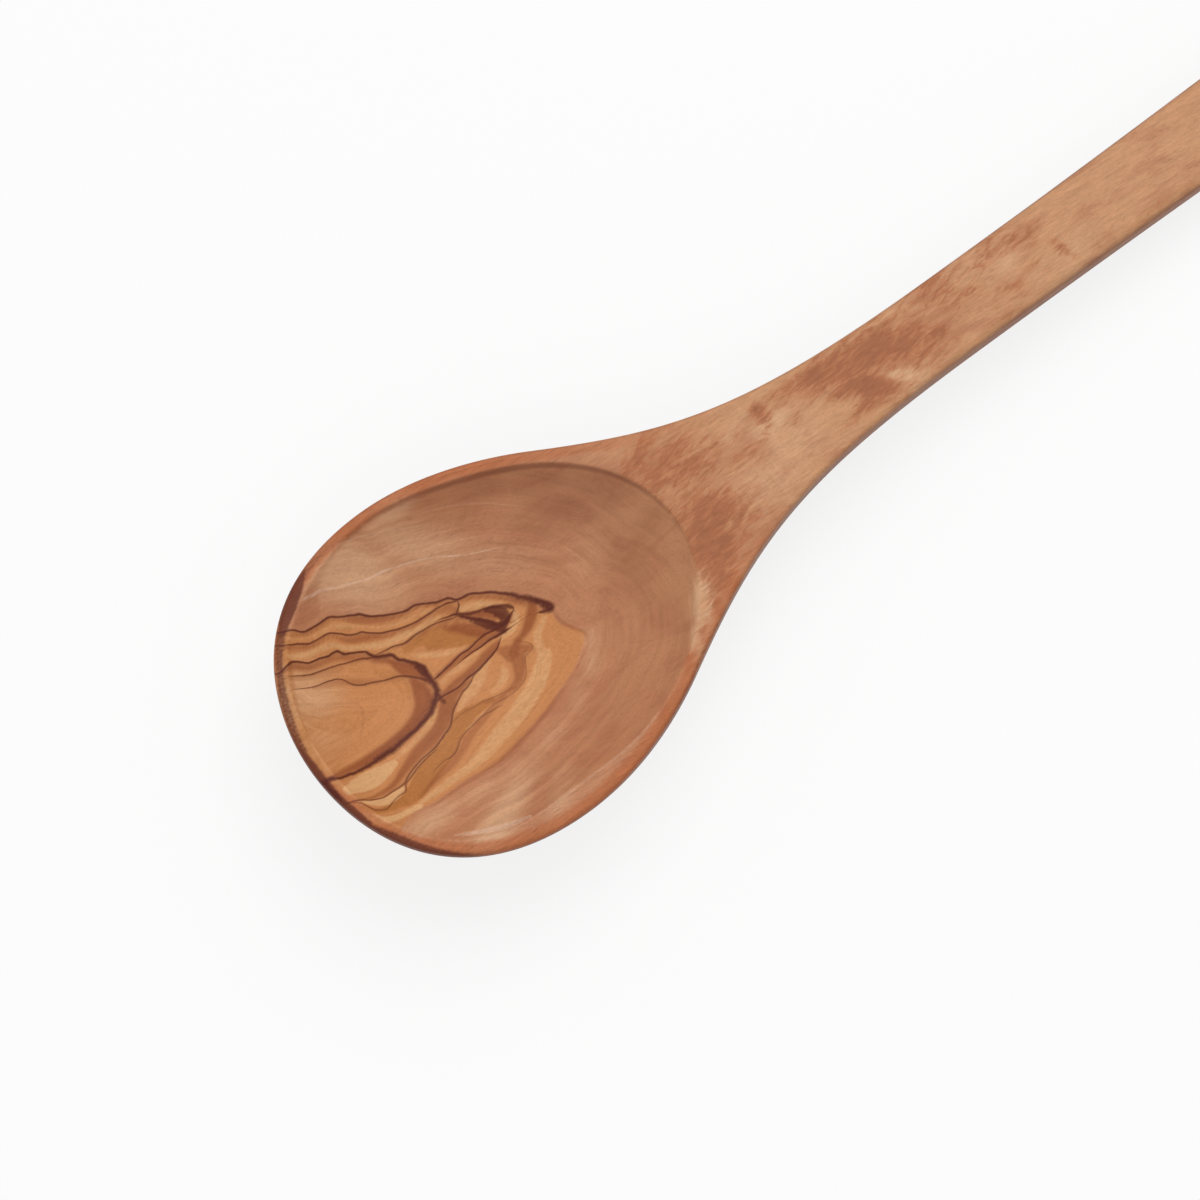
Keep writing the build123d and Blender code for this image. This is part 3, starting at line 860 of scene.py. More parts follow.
def hand_worked(s, u, v, w):
    """Small waves that a rasp and sandpaper leave: crossed sines, which only ever take wood away."""
    wave = sum(share * np.sin(u * a + v * b + w * c + start) for a, b, c, start, share in HAND_WAVES)
    wave = wave / sum(share for *_, share in HAND_WAVES)
    return s.hand_wave * (wave - 1) / 2


def loop_mesh(name, plan, height, index, hollow_rows, s):
    """Makes the closed mesh of the surface: quads round the loop, doubles merged, faces outwards.

    Beyond the bowl the hollow's rows all lie on the handle's middle line, and get no quads."""
    columns, rows = height.shape
    u, v = plan[:, :, 0], plan[:, :, 1]
    on_top = np.arange(rows) < hollow_rows + RIM_ROWS
    x, y, z = to_table(s, u, v, height + hand_worked(s, u, v, height) * on_top)
    near = np.maximum(1 - np.abs(z) / FLAT_BLEND, 0)
    z = np.maximum(z, 0) + near**2 * FLAT_BLEND / 4
    low, high = (np.array(corner) / MILLIMETRE for corner in cad_box)
    points = np.clip(np.stack([x, y, z], 2).reshape(-1, 3), low, high) * MILLIMETRE
    here, after = np.arange(columns), (np.arange(columns) + 1) % columns
    corner = here[:, None] * rows + np.arange(rows - 1)
    next_corner = after[:, None] * rows + np.arange(rows - 1)
    quads = np.stack([corner, next_corner, next_corner + 1, corner + 1], 2)
    kept = np.ones((columns, rows - 1), bool)
    kept[np.minimum(index, index[after]) >= BOWL_COLUMNS, :hollow_rows] = False
    mesh = bpy.data.meshes.new(name)
    mesh.from_pydata(points.tolist(), [], quads[kept].tolist())
    skin = bmesh.new()
    skin.from_mesh(mesh)
    bmesh.ops.remove_doubles(skin, verts=skin.verts, dist=SAME_POINT)
    loose = [point for point in skin.verts if not point.link_faces]
    bmesh.ops.delete(skin, geom=loose, context="VERTS")
    bmesh.ops.recalc_face_normals(skin, faces=skin.faces)
    open_edges = sum(len(line.link_faces) != 2 for line in skin.edges)
    skin.to_mesh(mesh)
    skin.free()
    print(f"spoon mesh: {len(mesh.vertices)} points, {len(mesh.polygons)} faces, {open_edges} open edges")
    mesh.shade_smooth()
    return mesh


def smooth_row(points, steps=4):
    """A row of places made smooth: a cubic through each pair that leaves and arrives along its
    neighbours' direction (Catmull-Rom)."""
    padded = np.concatenate([points[:1], points, points[-1:]])
    a, b, c, d = padded[:-3, None], padded[1:-2, None], padded[2:-1, None], padded[3:, None]
    t = (np.arange(steps) / steps)[None, :, None]
    curve = b + 0.5 * t * (c - a + t * (2 * a - 5 * b + 4 * c - d + t * (3 * (b - c) + d - a)))
    return np.concatenate([curve.reshape(-1, points.shape[1]), points[-1:]])


def pixels_to_board(s, pixels):
    """Where the camera's line through a pixel meets the spoon's top: the line meets a level plane, whose
    height is set to the top's height there, again and again until it settles."""
    right, up, back = camera_axes()
    focus = CAMERA_LENS / CAMERA_SENSOR * FRAME_PIXELS
    x = (pixels[:, :1] - FRAME_PIXELS / 2) / focus
    y = (FRAME_PIXELS / 2 - pixels[:, 1:2]) / focus
    line = right * x + up * y - back
    eye = (np.array(CAMERA_AIM) + back * CAMERA_DISTANCE) / MILLIMETRE
    start = np.array(to_board(s, *eye))
    far = np.array(to_board(s, *(eye[:, None] + line.T))).T - start
    height = np.zeros(len(pixels))
    for _ in range(SETTLING_ROUNDS):
        reach = (height - start[2]) / far[:, 2]
        place = start[:2] + far[:, :2] * reach[:, None]
        height = topside(s, place[:, 0], place[:, 1])
    return place


# What each attribute of the figure holds
FIGURE_FIELDS = {
    "edges": ("outline", "heart"),
    "bands": ("band", "band_strength", "rim"),
    "tones": ("light", "ochre", "streak"),
    "marks": ("dark", "hollow_shadow", "hollow_shine"),
    "patches": ("flame", "glow", "shade"),
    "places": ("hollow", "handle", "depth"),
}


def stroke_distance(points, curve, widths):
    """Distance of each point from a row of short straight runs, above zero on their left, and the half
    width at the nearest place."""
    a, along = curve[:-1], np.diff(curve, axis=0)
    square = np.maximum((along**2).sum(1), 1e-12)
    best = np.full(len(points), np.inf)
    sign, width = np.ones(len(points)), np.full(len(points), widths[0])
    for start, step, size, w0, w1 in zip(a, along, square, widths[:-1], widths[1:]):
        offset = points - start
        share = np.clip((offset @ step) / size, 0, 1)
        gap = offset - share[:, None] * step
        distance = (gap**2).sum(1)
        nearer = distance < best
        best = np.where(nearer, distance, best)
        turn = step[0] * offset[:, 1] - step[1] * offset[:, 0]
        sign = np.where(nearer, np.where(turn >= 0, 1.0, -1.0), sign)
        width = np.where(nearer, w0 + (w1 - w0) * share, width)
    return sign * np.sqrt(best), width


def distance_from(points, curve):
    """Distance of each point from a row of short straight runs, above zero on their left."""
    return stroke_distance(points, curve, np.zeros(len(curve)))[0]


def inside_polygon(points, corners):
    """Whether each point lies in a closed shape: it does when a line from it crosses the edge an odd
    number of times."""
    odd = np.zeros(len(points), bool)
    for (x0, y0), (x1, y1) in zip(corners, np.roll(corners, -1, axis=0)):
        spans = (y0 > points[:, 1]) != (y1 > points[:, 1])
        crossing = x0 + (points[:, 1] - y0) * (x1 - x0) / (y1 - y0 if y1 != y0 else 1e-12)
        odd ^= spans & (points[:, 0] < crossing)
    return odd


def board_stroke(s, rows):
    """A stroke's smooth row in board millimetres, with its half widths in millimetres."""
    row = smooth_row(np.array(rows, float))
    return pixels_to_board(s, row[:, :2]), row[:, 2] / 100


def union_of_strokes(s, points, drawn):
    """How deep each point lies inside the nearest of several strokes, in millimetres, and that
    stroke's strength."""
    deepest, strength = np.full(len(points), BAND_AWAY), np.zeros(len(points))
    for weight, rows in drawn.values():
        curve, widths = board_stroke(s, rows)
        distance, width = stroke_distance(points, curve, widths)
        inside = width - np.abs(distance)
        blend = np.clip((inside + STROKE_START) / STROKE_SPAN, 0, 1) * weight
        strength = np.maximum(strength, blend)
        deepest = np.maximum(deepest, inside)
    return deepest, strength


def soft_patches(s, points, patches):
    """The strongest of several soft patches at each point: a bell curve over an ellipse."""
    found = np.zeros(len(points))
    middles = pixels_to_board(s, np.array(patches, float))
    for middle, (_, _, half_length, half_width, lean, strength) in zip(middles, patches):
        turn = math.radians(lean)
        away = points - middle
        along = away[:, 0] * math.cos(turn) + away[:, 1] * math.sin(turn)
        across = away[:, 1] * math.cos(turn) - away[:, 0] * math.sin(turn)
        near = np.exp(-PATCH_FALL * ((along / half_length) ** 2 + (across / half_width) ** 2))
        found = np.maximum(found, strength * near)
    return found


def paint_figure(s, mesh):
    """Stores the figure on the mesh as smooth values, so that the material can draw it sharply.

    The figure is placed on the spoon's top and leans with depth, as growth rings do, so the sides and
    the underside cut other parts of it."""
    count = len(mesh.vertices)
    place = np.zeros(count * 3)
    mesh.vertices.foreach_get("co", place)
    u, v, w = to_board(s, *(place.reshape(-1, 3).T / MILLIMETRE))
    top = topside(s, u, v)
    depth = np.maximum(top - w - TOP_SKIN, 0)
    plan = np.stack([u, v], 1)
    points = plan - np.array(RING_LEAN) * depth[:, None]
    near = np.abs(points[:, 0]) < FIGURE_REACH
    close = points[near]

    def spread(values, away):
        """Values of the near points, with one value for the points away from the figure."""
        whole = np.full(count, away)
        whole[near] = values
        return whole

    def store(name, *columns):
        """Keeps up to three values of each point as one attribute."""
        columns += (np.zeros(count),) * (3 - len(columns))
        values = np.stack(columns, 1).astype(np.float32)
        mesh.attributes.new(name, "FLOAT_VECTOR", "POINT").data.foreach_set("vector", values.ravel())

    # lines: how many half widths each point lies from each line
    for family, (strokes, _) in LINE_FAMILIES.items():
        lines = []
        for _, rows in strokes.values():
            distance, width = stroke_distance(close, *board_stroke(s, rows))
            away = np.clip(distance / np.maximum(width, LEAST_HALF_WIDTH), -LINE_AWAY, LINE_AWAY)
            lines.append(spread(away, LINE_AWAY))
        for k in range(0, len(lines), 3):
            store(f"{family}_{k // 3}", *lines[k : k + 3])

    # bands, tones, dark places, rim marks and soft patches
    band, band_strength = union_of_strokes(s, close, GROWTH_BANDS)
    rim = union_of_strokes(s, plan, RIM_MARKS)[1] * np.clip(RIM_MARK_TOP - depth / RIM_MARK_DEPTH, 0, 1)
    store("bands", spread(band, BAND_AWAY), spread(band_strength, 0.0), rim)
    light, ochre, streak, dark = (
        spread(union_of_strokes(s, close, strokes)[1], 0.0)
        for strokes in (LIGHT_BANDS, OCHRE_BANDS, PALE_STREAKS, DARK_PLACES)
    )
    store("tones", light, ochre, streak)
    store("patches", *(soft_patches(s, points, patches) for patches in (FLAMES, GLOWS, SHADES)))

    # edges: how far each point lies from the outline and inside the heart
    outline, edge = half_outline(s)[::OUTLINE_STEP], hollow_edge(s)[::OUTLINE_STEP]
    from_outline = np.abs(distance_from(np.stack([u, np.abs(v)], 1), outline))
    inside_hollow = -distance_from(np.stack([u, np.abs(v - hollow_shift(s, u))], 1), edge)
    corners = pixels_to_board(s, np.array(HEART_EDGE, float))
    from_heart = np.abs(distance_from(close, np.concatenate([corners, corners[:1]])))
    heart = np.where(inside_polygon(close, corners), from_heart, -from_heart)
    away = plan - (s.bowl_widest_at + HOLLOW_HEART, 0)
    away /= np.maximum(np.hypot(*away.T), 1e-6)[:, None]
    sides = {
        name: np.clip((away @ np.array(way) - start) / (1 - start), 0, 1)
        for name, (way, start) in BOWL_SIDES.items()
    }
    store("edges", from_outline + TIP_EXTRA * sides["tip"], spread(heart, -FIGURE_REACH))

    # marks at the hollow's edge, its painted shadow and painted highlight, and which points are in the
    # hollow, on the handle and deep
    on_top = np.clip(1 - depth, 0, 1)
    shadow = bell(inside_hollow, *PAINTED_SHADOW_LINE) * sides["dark"] * on_top
    shine = bell(inside_hollow, *PAINTED_HIGHLIGHT_LINE) * sides["bright"] * on_top
    store("marks", dark, shadow, shine)
    hollow = np.clip(-top / HOLLOW_FADE, 0, 1) * np.clip(1 - depth / HOLLOW_FADE, 0, 1)
    handle = np.clip((points[:, 0] - TAN_START) / TAN_SPAN, 0, 1)
    store("places", hollow, handle, depth)


def new_material(name):
    """An empty node material."""
    material = bpy.data.materials.new(name)
    material.use_nodes = True
    material.node_tree.nodes.clear()
    return material


def add_node(tree, kind, settings=None, inputs=None):
    """Adds one node with its settings, and its inputs by name or number: a value, a socket or a node,
    which stands for its first output."""
    node = tree.nodes.new("ShaderNode" + kind)
    for name, value in (settings or {}).items():
        setattr(node, name, value)
    for name, value in (inputs or {}).items():
        if isinstance(value, bpy.types.Node):
            value = value.outputs[0]
        if isinstance(value, bpy.types.NodeSocket):
            tree.links.new(value, node.inputs[name])
        else:
            node.inputs[name].default_value = value
    return node


def with_alpha(value):
    """A colour with full alpha."""
    return (*value[:3], 1.0)


# The wood's patterns: how far each turns from the handle's line in degrees, its length, width and
# height in millimetres, how much fine detail it has and how much it curls. Pores are drawn twice as
# wide as real ones, to show.
GRAIN = {
    "fibres": (-4, (5.0, 0.45, 0.45), 3, 0.4),
    "pores": (0, (1.8, 0.18, 0.18), 1, 0.0),
    "wobble": (0, (1.5, 1.0, 1.0), 2, 0.0),
    "clouds": (-8, (13.0, 5.0, 8.0), 3, 0.8),
    "tongues": (10, (4.2, 1.2, 1.6), 4, 0.9),
    "mottle": (-10, (0.9, 0.42, 0.42), 2, 0.3),
}

# Flecks are the tongues with some of the mottle on top
MOTTLE_IN_FLECKS = 0.45

# What is drawn where: a value, the pattern that strays its edge, how far, and where it starts and ends
EDGES_DRAWN = {
    "heart": ("heart", "wobble", 0.7, -0.3, 0.4),
    "band": ("band", "mottle", 0.9, -0.45, 0.8),
    "dark": ("dark", "wobble", 0.8, 0.15, 0.75),
    "ochre": ("ochre", "wobble", 0.5, 0.15, 0.95),
    "light": ("light", "wobble", 0.4, 0.15, 0.85),
    "hollow_shadow": ("hollow_shadow", "mottle", 0.4, 0.1, 0.9),
    "hollow_shine": ("hollow_shine", "mottle", 0.6, 0.15, 0.9),
    "flame": ("flame", "flecks", 1.4, 0.1, 0.85),
    "flame_core": ("flame", "flecks", 1.9, 0.4, 1.15),
    "glow": ("glow", "ring", 0.6, 0.1, 1.0),
    "glow_over": ("glow", "flecks", 0.9, 1.0, 1.6),
    "shade": ("shade", "mottle", 0.5, 0.05, 1.0),
    "streak": ("streak", "mottle", 0.5, 0.35, 1.05),
    "rim": ("rim", "mottle", 0.8, 0.1, 0.85),
    "cloud": (None, "clouds", 1.0, -0.1, 0.18),
    "rim_wood": ("outline", "wobble", 1.0, 3.1, 1.7),
    "outer": ("outline", "wobble", 0.8, 0.9, 0.0),
    # the sides and the underside darken with depth below the top: partly painted shade, partly darker wood
    "side": ("depth", "mottle", 0.5, 0.3, 1.6),
}

# How a line's parts fall with the distance from its middle, in half widths. Each part takes the lower
# of two slopes, given by what they gain for each half width and by their value in the middle. The core
# counts both sides alike. The shadow is longer where the distance is below zero, on the side of the
# line's younger wood. Fine grain moves a line by up to LINE_STRAY half widths, half of it to each side.
LINE_SLOPES = {"core": ((-0.55, 1.25), (0.0, 1.0)), "shadow": ((-0.5, 1.0), (0.17, 1.0))}
LINE_STRAY = 1.8

# Growth rings: how wide one is in millimetres, how much closer they are beside a band, the half width of
# the change at the heart's edge, and how far they drift for each millimetre along, across and up
RING_WIDTH, BAND_RINGS, HEART_BLEND = 4 / 3, 1.6, 0.3
RING_DRIFT = (0.06, 0.11, 0.11)

# Pale lines break up: how much the tongues of the grain count in them, and what is left of a line
# without any
PALE_BREAKS, PALE_LEFT = 2.2, 0.8

# The colours, laid over one another in this order: what is drawn, how much of it, and its colour
LAYERS = [
    ("cloud", 0.45, "ruddy"), ("heart", 1.0, "golden"), ("glow", 0.6, "pale"), ("shade", 0.6, "shaded"),
    ("ochre", 0.8, "ochre"), ("light", 0.75, "light"), ("band", 0.85, "band"),
    ("growth_lines_shadow", 0.5, "halo"), ("streak", 0.45, "palest"), ("flame", 0.75, "flame"),
    ("flame_core", 0.75, "shaded"), ("rim_wood", 0.8, "rim"), ("glow_over", 0.7, "tan"),
    ("hollow_shadow", 0.5, "edge"), ("hollow_shine", 0.1, "palest"), ("side", 0.48, "edge"),
    ("outer", 0.25, "edge"), ("rim", 0.9, "edge"), ("growth_lines_core", 0.9, "line"),
    ("pale_lines_core", 0.4, "palest"), ("dark", 0.8, "line"),
]

# How much fibres and fine mottle lighten and darken the colour, where the grain turns into a pore and
# how much a pore darkens it
FIBRE_CONTRAST, MOTTLE_CONTRAST = 0.5, 0.36
PORE_START, PORE_END, PORE_DARKENS = -0.08, -0.2, 0.16

# The finish: the index of refraction of dried oil, its faint gloss, the roughness between fibres and on
# them, and the bump's height in millimetres, its strength and how much of it pores have
OIL_IOR, OIL_GLOSS = 1.47, 0.2
ROUGH_BETWEEN, ROUGH_ON, ROUGH_REACH = 0.56, 0.44, 0.25
BUMP_HEIGHT, BUMP_STRENGTH, PORE_BUMP = 0.04, 0.25, 0.6


def olive_wood(s, c):
    """Olive wood, sanded and oiled: a low satin sheen over fine grain, dark growth lines round an eye
    in the bowl, and reddish flames along the neck and the handle."""
    material = new_material("olive_wood_sanded_and_oiled")
    tree = material.node_tree
    place = add_node(tree, "TexCoord").outputs["Object"]

    grain, noises = {}, {}
    for name, (turn, size, detail, curl) in GRAIN.items():
        cells = add_node(tree, "Mapping", {"vector_type": "TEXTURE"}, {
            "Vector": place,
            "Rotation": (0, s.lie, math.radians(turn)),
            "Scale": [side * MILLIMETRE for side in size],
        })
        noises[name] = add_node(tree, "TexNoise", {}, {
            "Vector": cells, "Scale": 1.0, "Detail": detail, "Roughness": 0.6, "Distortion": curl
        })
        grain[name] = add_node(tree, "Math", {"operation": "SUBTRACT"}, {
            0: noises[name], 1: 0.5
        }).outputs[0]
    grain["flecks"] = add_node(tree, "Math", {"operation": "MULTIPLY_ADD"}, {
        0: grain["mottle"], 1: MOTTLE_IN_FLECKS, 2: grain["tongues"]
    }).outputs[0]

    parts = {}
    for name, fields in FIGURE_FIELDS.items():
        field = add_node(tree, "Attribute", {"attribute_name": name}).outputs["Vector"]
        parts.update(zip(fields, add_node(tree, "SeparateXYZ", {}, {0: field}).outputs))

    # lines: three to an attribute, each with its parts' slopes, and the strongest of all is drawn
    drawn = {}
    centred = add_node(tree, "VectorMath", {"operation": "SUBTRACT"}, {
        0: noises["wobble"].outputs["Color"], 1: (0.5, 0.5, 0.5)
    })
    for family, (strokes, wanted) in LINE_FAMILIES.items():
        strengths = [weight for weight, _ in strokes.values()]
        strengths += [0.0] * (-len(strengths) % 3)
        most = {part: (0.0, 0.0, 0.0) for part in wanted}
        for k in range(0, len(strengths), 3):
            field = add_node(tree, "Attribute", {"attribute_name": f"{family}_{k // 3}"}).outputs["Vector"]
            signed = add_node(tree, "VectorMath", {"operation": "MULTIPLY_ADD"}, {
                0: centred, 1: [LINE_STRAY] * 3, 2: field
            })
            either_side = add_node(tree, "VectorMath", {"operation": "ABSOLUTE"}, {0: signed})
            for part in wanted:
                slopes = [
                    add_node(tree, "VectorMath", {"operation": "MULTIPLY_ADD"}, {
                        0: either_side if part == "core" else signed, 1: [gain] * 3, 2: [at_middle] * 3
                    })
                    for gain, at_middle in LINE_SLOPES[part]
                ]
                lower = add_node(tree, "VectorMath", {"operation": "MINIMUM"}, {0: slopes[0], 1: slopes[1]})
                weighed = add_node(tree, "VectorMath", {"operation": "MULTIPLY"}, {
                    0: lower, 1: strengths[k : k + 3]
                })
                most[part] = add_node(tree, "VectorMath", {"operation": "MAXIMUM"}, {
                    0: weighed, 1: most[part]
                })
        for part, found in most.items():
            first, second, third = add_node(tree, "SeparateXYZ", {}, {0: found}).outputs
            either = add_node(tree, "Math", {"operation": "MAXIMUM"}, {0: first, 1: second})
            drawn[f"{family}_{part}"] = add_node(tree, "Math", {"operation": "MAXIMUM"}, {
                0: either, 1: third
            }).outputs[0]

    # growth rings: streaks that keep their distance from the heart's edge, and from the bands inside it
    in_heart = add_node(tree, "MapRange", {}, {
        "Value": parts["heart"], "From Min": -HEART_BLEND, "From Max": HEART_BLEND
    })
    by_band = add_node(tree, "Math", {"operation": "MULTIPLY"}, {0: parts["band"], 1: BAND_RINGS})
    ring = add_node(tree, "Mix", {"data_type": "FLOAT"}, {0: in_heart, 2: parts["heart"], 3: by_band})
    ring_place = add_node(tree, "CombineXYZ", {}, {0: ring.outputs[0]})
    drifting = add_node(tree, "VectorMath", {"operation": "MULTIPLY_ADD"}, {
        0: place, 1: [drift / MILLIMETRE for drift in RING_DRIFT], 2: ring_place
    })
    rings = add_node(tree, "TexNoise", {}, {
        "Vector": drifting, "Scale": 1 / RING_WIDTH, "Detail": 4.0, "Roughness": 0.7, "Distortion": 0.35
    })
    grain["ring"] = add_node(tree, "Math", {"operation": "SUBTRACT"}, {0: rings, 1: 0.5}).outputs[0]

    for name, (value, pattern, far, start, end) in EDGES_DRAWN.items():
        moved = add_node(tree, "Math", {"operation": "MULTIPLY_ADD"}, {
            0: grain[pattern], 1: far, 2: parts[value] if value else 0.0
        })
        drawn[name] = add_node(tree, "MapRange", {"interpolation_type": "SMOOTHSTEP"}, {
            "Value": moved, "From Min": start, "From Max": end
        }).outputs[0]

    # the colours' layers, some of them held back where other wood lies
    outside = add_node(tree, "Math", {"operation": "SUBTRACT"}, {0: 1.0, 1: parts["hollow"]})
    off_handle = add_node(tree, "Math", {"operation": "SUBTRACT"}, {0: 1.0, 1: parts["handle"]})
    broken = add_node(tree, "Math", {"operation": "MULTIPLY_ADD"}, {
        0: grain["tongues"], 1: PALE_BREAKS, 2: PALE_LEFT
    })
    held_back = {
        "pale_lines_core": add_node(tree, "Math", {"operation": "MULTIPLY", "use_clamp": True}, {
            0: parts["hollow"], 1: broken
        }),
        "band": parts["band_strength"],
        "flame": outside,
        "flame_core": outside,
        "glow_over": outside,
        "rim_wood": off_handle,
    }
    ground = add_node(tree, "Mix", {"data_type": "RGBA"}, {
        0: parts["handle"], 6: with_alpha(c.plain), 7: with_alpha(c.tan)
    }).outputs[2]
    for name, most, tone in LAYERS:
        share = add_node(tree, "Math", {"operation": "MULTIPLY"}, {0: drawn[name], 1: most})
        if name in held_back:
            share = add_node(tree, "Math", {"operation": "MULTIPLY"}, {0: share, 1: held_back[name]})
        ground = add_node(tree, "Mix", {"data_type": "RGBA"}, {
            0: share, 6: ground, 7: with_alpha(getattr(c, tone))
        }).outputs[2]

    # fibres: rings in the bowl and straight grain elsewhere lighten and darken every colour a little
    along = add_node(tree, "Mix", {"data_type": "FLOAT"}, {
        0: parts["hollow"], 2: grain["fibres"], 3: grain["ring"]
    }).outputs[0]
    pores = add_node(tree, "MapRange", {}, {
        "Value": grain["pores"], "From Min": PORE_END, "From Max": PORE_START,
        "To Min": -PORE_DARKENS, "To Max": 0.0,
    })
    streaks = add_node(tree, "Math", {"operation": "MULTIPLY_ADD"}, {0: along, 1: FIBRE_CONTRAST, 2: 1.0})
    speckled = add_node(tree, "Math", {"operation": "MULTIPLY_ADD"}, {
        0: grain["mottle"], 1: MOTTLE_CONTRAST, 2: streaks
    })
    brightness = add_node(tree, "Math", {"operation": "ADD"}, {0: speckled, 1: pores})
    wood = add_node(tree, "VectorMath", {"operation": "SCALE"}, {0: ground, "Scale": brightness})

    sheen = add_node(tree, "MapRange", {}, {
        "Value": along, "From Min": -ROUGH_REACH, "From Max": ROUGH_REACH,
        "To Min": ROUGH_BETWEEN, "To Max": ROUGH_ON,
    })
    height = add_node(tree, "Math", {"operation": "MULTIPLY_ADD"}, {0: pores, 1: PORE_BUMP, 2: along})
    bump = add_node(tree, "Bump", {}, {
        "Height": height, "Strength": BUMP_STRENGTH, "Distance": BUMP_HEIGHT * MILLIMETRE
    })
    shader = add_node(tree, "BsdfPrincipled", {}, {
        "Base Color": wood, "Roughness": sheen, "IOR": OIL_IOR, "Specular IOR Level": OIL_GLOSS,
        "Normal": bump,
    })
    add_node(tree, "OutputMaterial", {}, {"Surface": shader})
    return material


class SPOON_OT_carve(bpy.types.Operator):
    """Carve the spoon and give it its wood."""

    bl_idname = "spoon.carve"
    bl_label = "Carve the spoon"

    def execute(self, context):
        s = in_millimetres(context.scene.spoon_sizes)
        mesh = loop_mesh("carved_spoon", *spoon_surface(s), s)
        spoon = bpy.data.objects.new("carved_spoon", mesh)
        context.scene.collection.objects.link(spoon)
        paint_figure(s, mesh)
        mesh.materials.append(olive_wood(s, context.scene.spoon_colours))
        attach(spoon, "root")
        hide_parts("spoon")
        return {"FINISHED"}


def camera_axes():
    """The camera's right, up and back directions, from its azimuth and elevation."""
    e, a = CAMERA_ELEVATION, CAMERA_AZIMUTH
    back = np.array([math.sin(a) * math.cos(e), -math.cos(a) * math.cos(e), math.sin(e)])
    right = np.array([math.cos(a), math.sin(a), 0.0])
    return right, np.cross(back, right), back


def area_lamp(name, place, aim, size, power):
    """A square soft light that faces a point."""
    lamp = bpy.data.lights.new(name, "AREA")
    lamp.shape, lamp.size, lamp.energy = "SQUARE", size, power
    holder = bpy.data.objects.new(name, lamp)
    holder.location = place
    holder.rotation_euler = (aim - place).to_track_quat("-Z", "Y").to_euler()
    bpy.context.scene.collection.objects.link(holder)


def background_rays(tree):
    """Tells the rays that see the background, straight or in a reflection, from those that light."""
    rays = add_node(tree, "LightPath").outputs
    straight = add_node(tree, "Math", {"operation": "MAXIMUM"}, {
        0: rays["Is Camera Ray"], 1: rays["Is Glossy Ray"]
    })
    return add_node(tree, "Math", {"operation": "MAXIMUM"}, {
        0: straight, 1: rays["Is Transmission Ray"]
    }).outputs[0]


def white_paint():
    """White matt paint on a board: even and without gloss, it shows nothing but the spoon's soft shadow,
    and whatever sees it as the background sees it nearly white."""
    paint = new_material("white_matt_paint")
    tree = paint.node_tree
    lit = add_node(tree, "BsdfDiffuse", {}, {"Color": with_alpha(linear(PAINT))})
    white = add_node(tree, "Emission", {}, {"Color": with_alpha(linear(WHITE)), "Strength": 1.0})
    amount = add_node(tree, "Math", {"operation": "MULTIPLY"}, {
        0: background_rays(tree), 1: TABLE_WHITE_SHARE
    })
    mixed = add_node(tree, "MixShader", {}, {0: amount, 1: lit, 2: white})
    add_node(tree, "OutputMaterial", {}, {"Surface": mixed})
    return paint


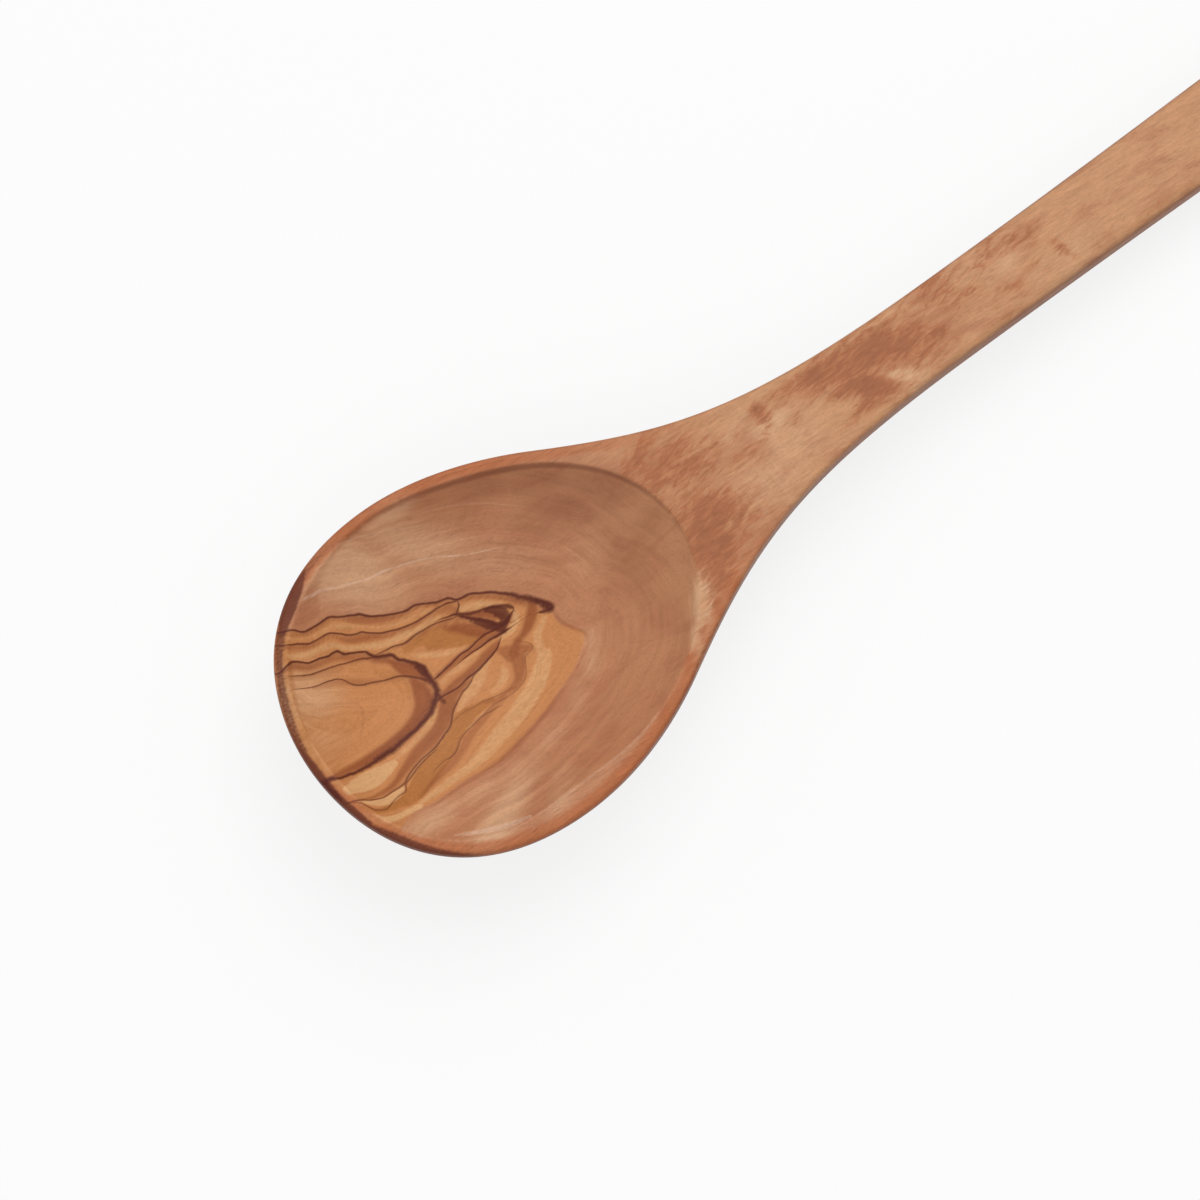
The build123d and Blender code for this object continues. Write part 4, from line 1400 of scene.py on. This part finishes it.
class SPOON_OT_stage(bpy.types.Operator):
    """Lay the plain table under the spoon, and set the soft lights and the camera."""

    bl_idname = "spoon.stage"
    bl_label = "Set the table and lights"

    def execute(self, context):
        scene = context.scene
        right, up, back = camera_axes()
        camera = bpy.data.cameras.new("camera")
        camera.lens, camera.sensor_width = CAMERA_LENS, CAMERA_SENSOR
        camera.clip_start, camera.clip_end = CAMERA_CLIP
        holder = bpy.data.objects.new("camera", camera)
        holder.location = Vector(CAMERA_AIM) + Vector(back) * CAMERA_DISTANCE
        holder.rotation_euler = Vector(back).to_track_quat("Z", "Y").to_euler()
        scene.collection.objects.link(holder)
        scene.camera = holder

        mesh = bpy.data.meshes.new("table")
        turns = ((-1, -1), (1, -1), (1, 1), (-1, 1))
        corners = [(x * TABLE_HALF, y * TABLE_HALF, -TABLE_GAP) for x, y in turns]
        mesh.from_pydata(corners, [], [(0, 1, 2, 3)])
        mesh.materials.append(white_paint())
        table = bpy.data.objects.new("table", mesh)
        scene.collection.objects.link(table)

        aim, up_flat = Vector(LAMP_AIM), Vector((up[0], up[1], 0)).normalized()
        for name, ((ahead, aside, height), size, power) in LAMPS.items():
            place = aim + up_flat * ahead + Vector(right) * aside + Vector((0, 0, height))
            area_lamp(name, place, aim, size, power)
        scene.world = bpy.data.worlds.new("studio")
        scene.world.use_nodes = True
        sky = scene.world.node_tree
        sky.nodes.clear()
        white = with_alpha(linear(WHITE))
        soft = add_node(sky, "Background", {}, {"Color": white, "Strength": SKY_STRENGTH})
        plain = add_node(sky, "Background", {}, {"Color": white, "Strength": 1.0})
        both = add_node(sky, "MixShader", {}, {0: background_rays(sky), 1: soft, 2: plain})
        add_node(sky, "OutputWorld", {}, {"Surface": both})
        scene.view_settings.view_transform = "Standard"
        return {"FINISHED"}


class SPOON_PT_panel(bpy.types.Panel):
    """Lists the spoon's sizes, its colours and what builds it."""

    bl_label = "Olive wood spoon"
    bl_idname = "SPOON_PT_panel"
    bl_space_type = "VIEW_3D"
    bl_region_type = "UI"
    bl_category = "Spoon"

    def draw(self, context):
        for group in (context.scene.spoon_sizes, context.scene.spoon_colours):
            box = self.layout.box()
            for name in group.__annotations__:
                box.prop(group, name)
        self.layout.operator(SPOON_OT_carve.bl_idname)
        self.layout.operator(SPOON_OT_stage.bl_idname)


CLASSES = (SpoonSizes, SpoonColours, SPOON_OT_carve, SPOON_OT_stage, SPOON_PT_panel)


def register():
    for item in CLASSES:
        bpy.utils.register_class(item)
    bpy.types.Scene.spoon_sizes = PointerProperty(type=SpoonSizes)
    bpy.types.Scene.spoon_colours = PointerProperty(type=SpoonColours)


def unregister():
    del bpy.types.Scene.spoon_colours
    del bpy.types.Scene.spoon_sizes
    for item in reversed(CLASSES):
        bpy.utils.unregister_class(item)


def main():
    """Builds everything in order."""
    register()
    bpy.ops.spoon.carve()
    bpy.ops.spoon.stage()


if __name__ == "__main__":
    main()
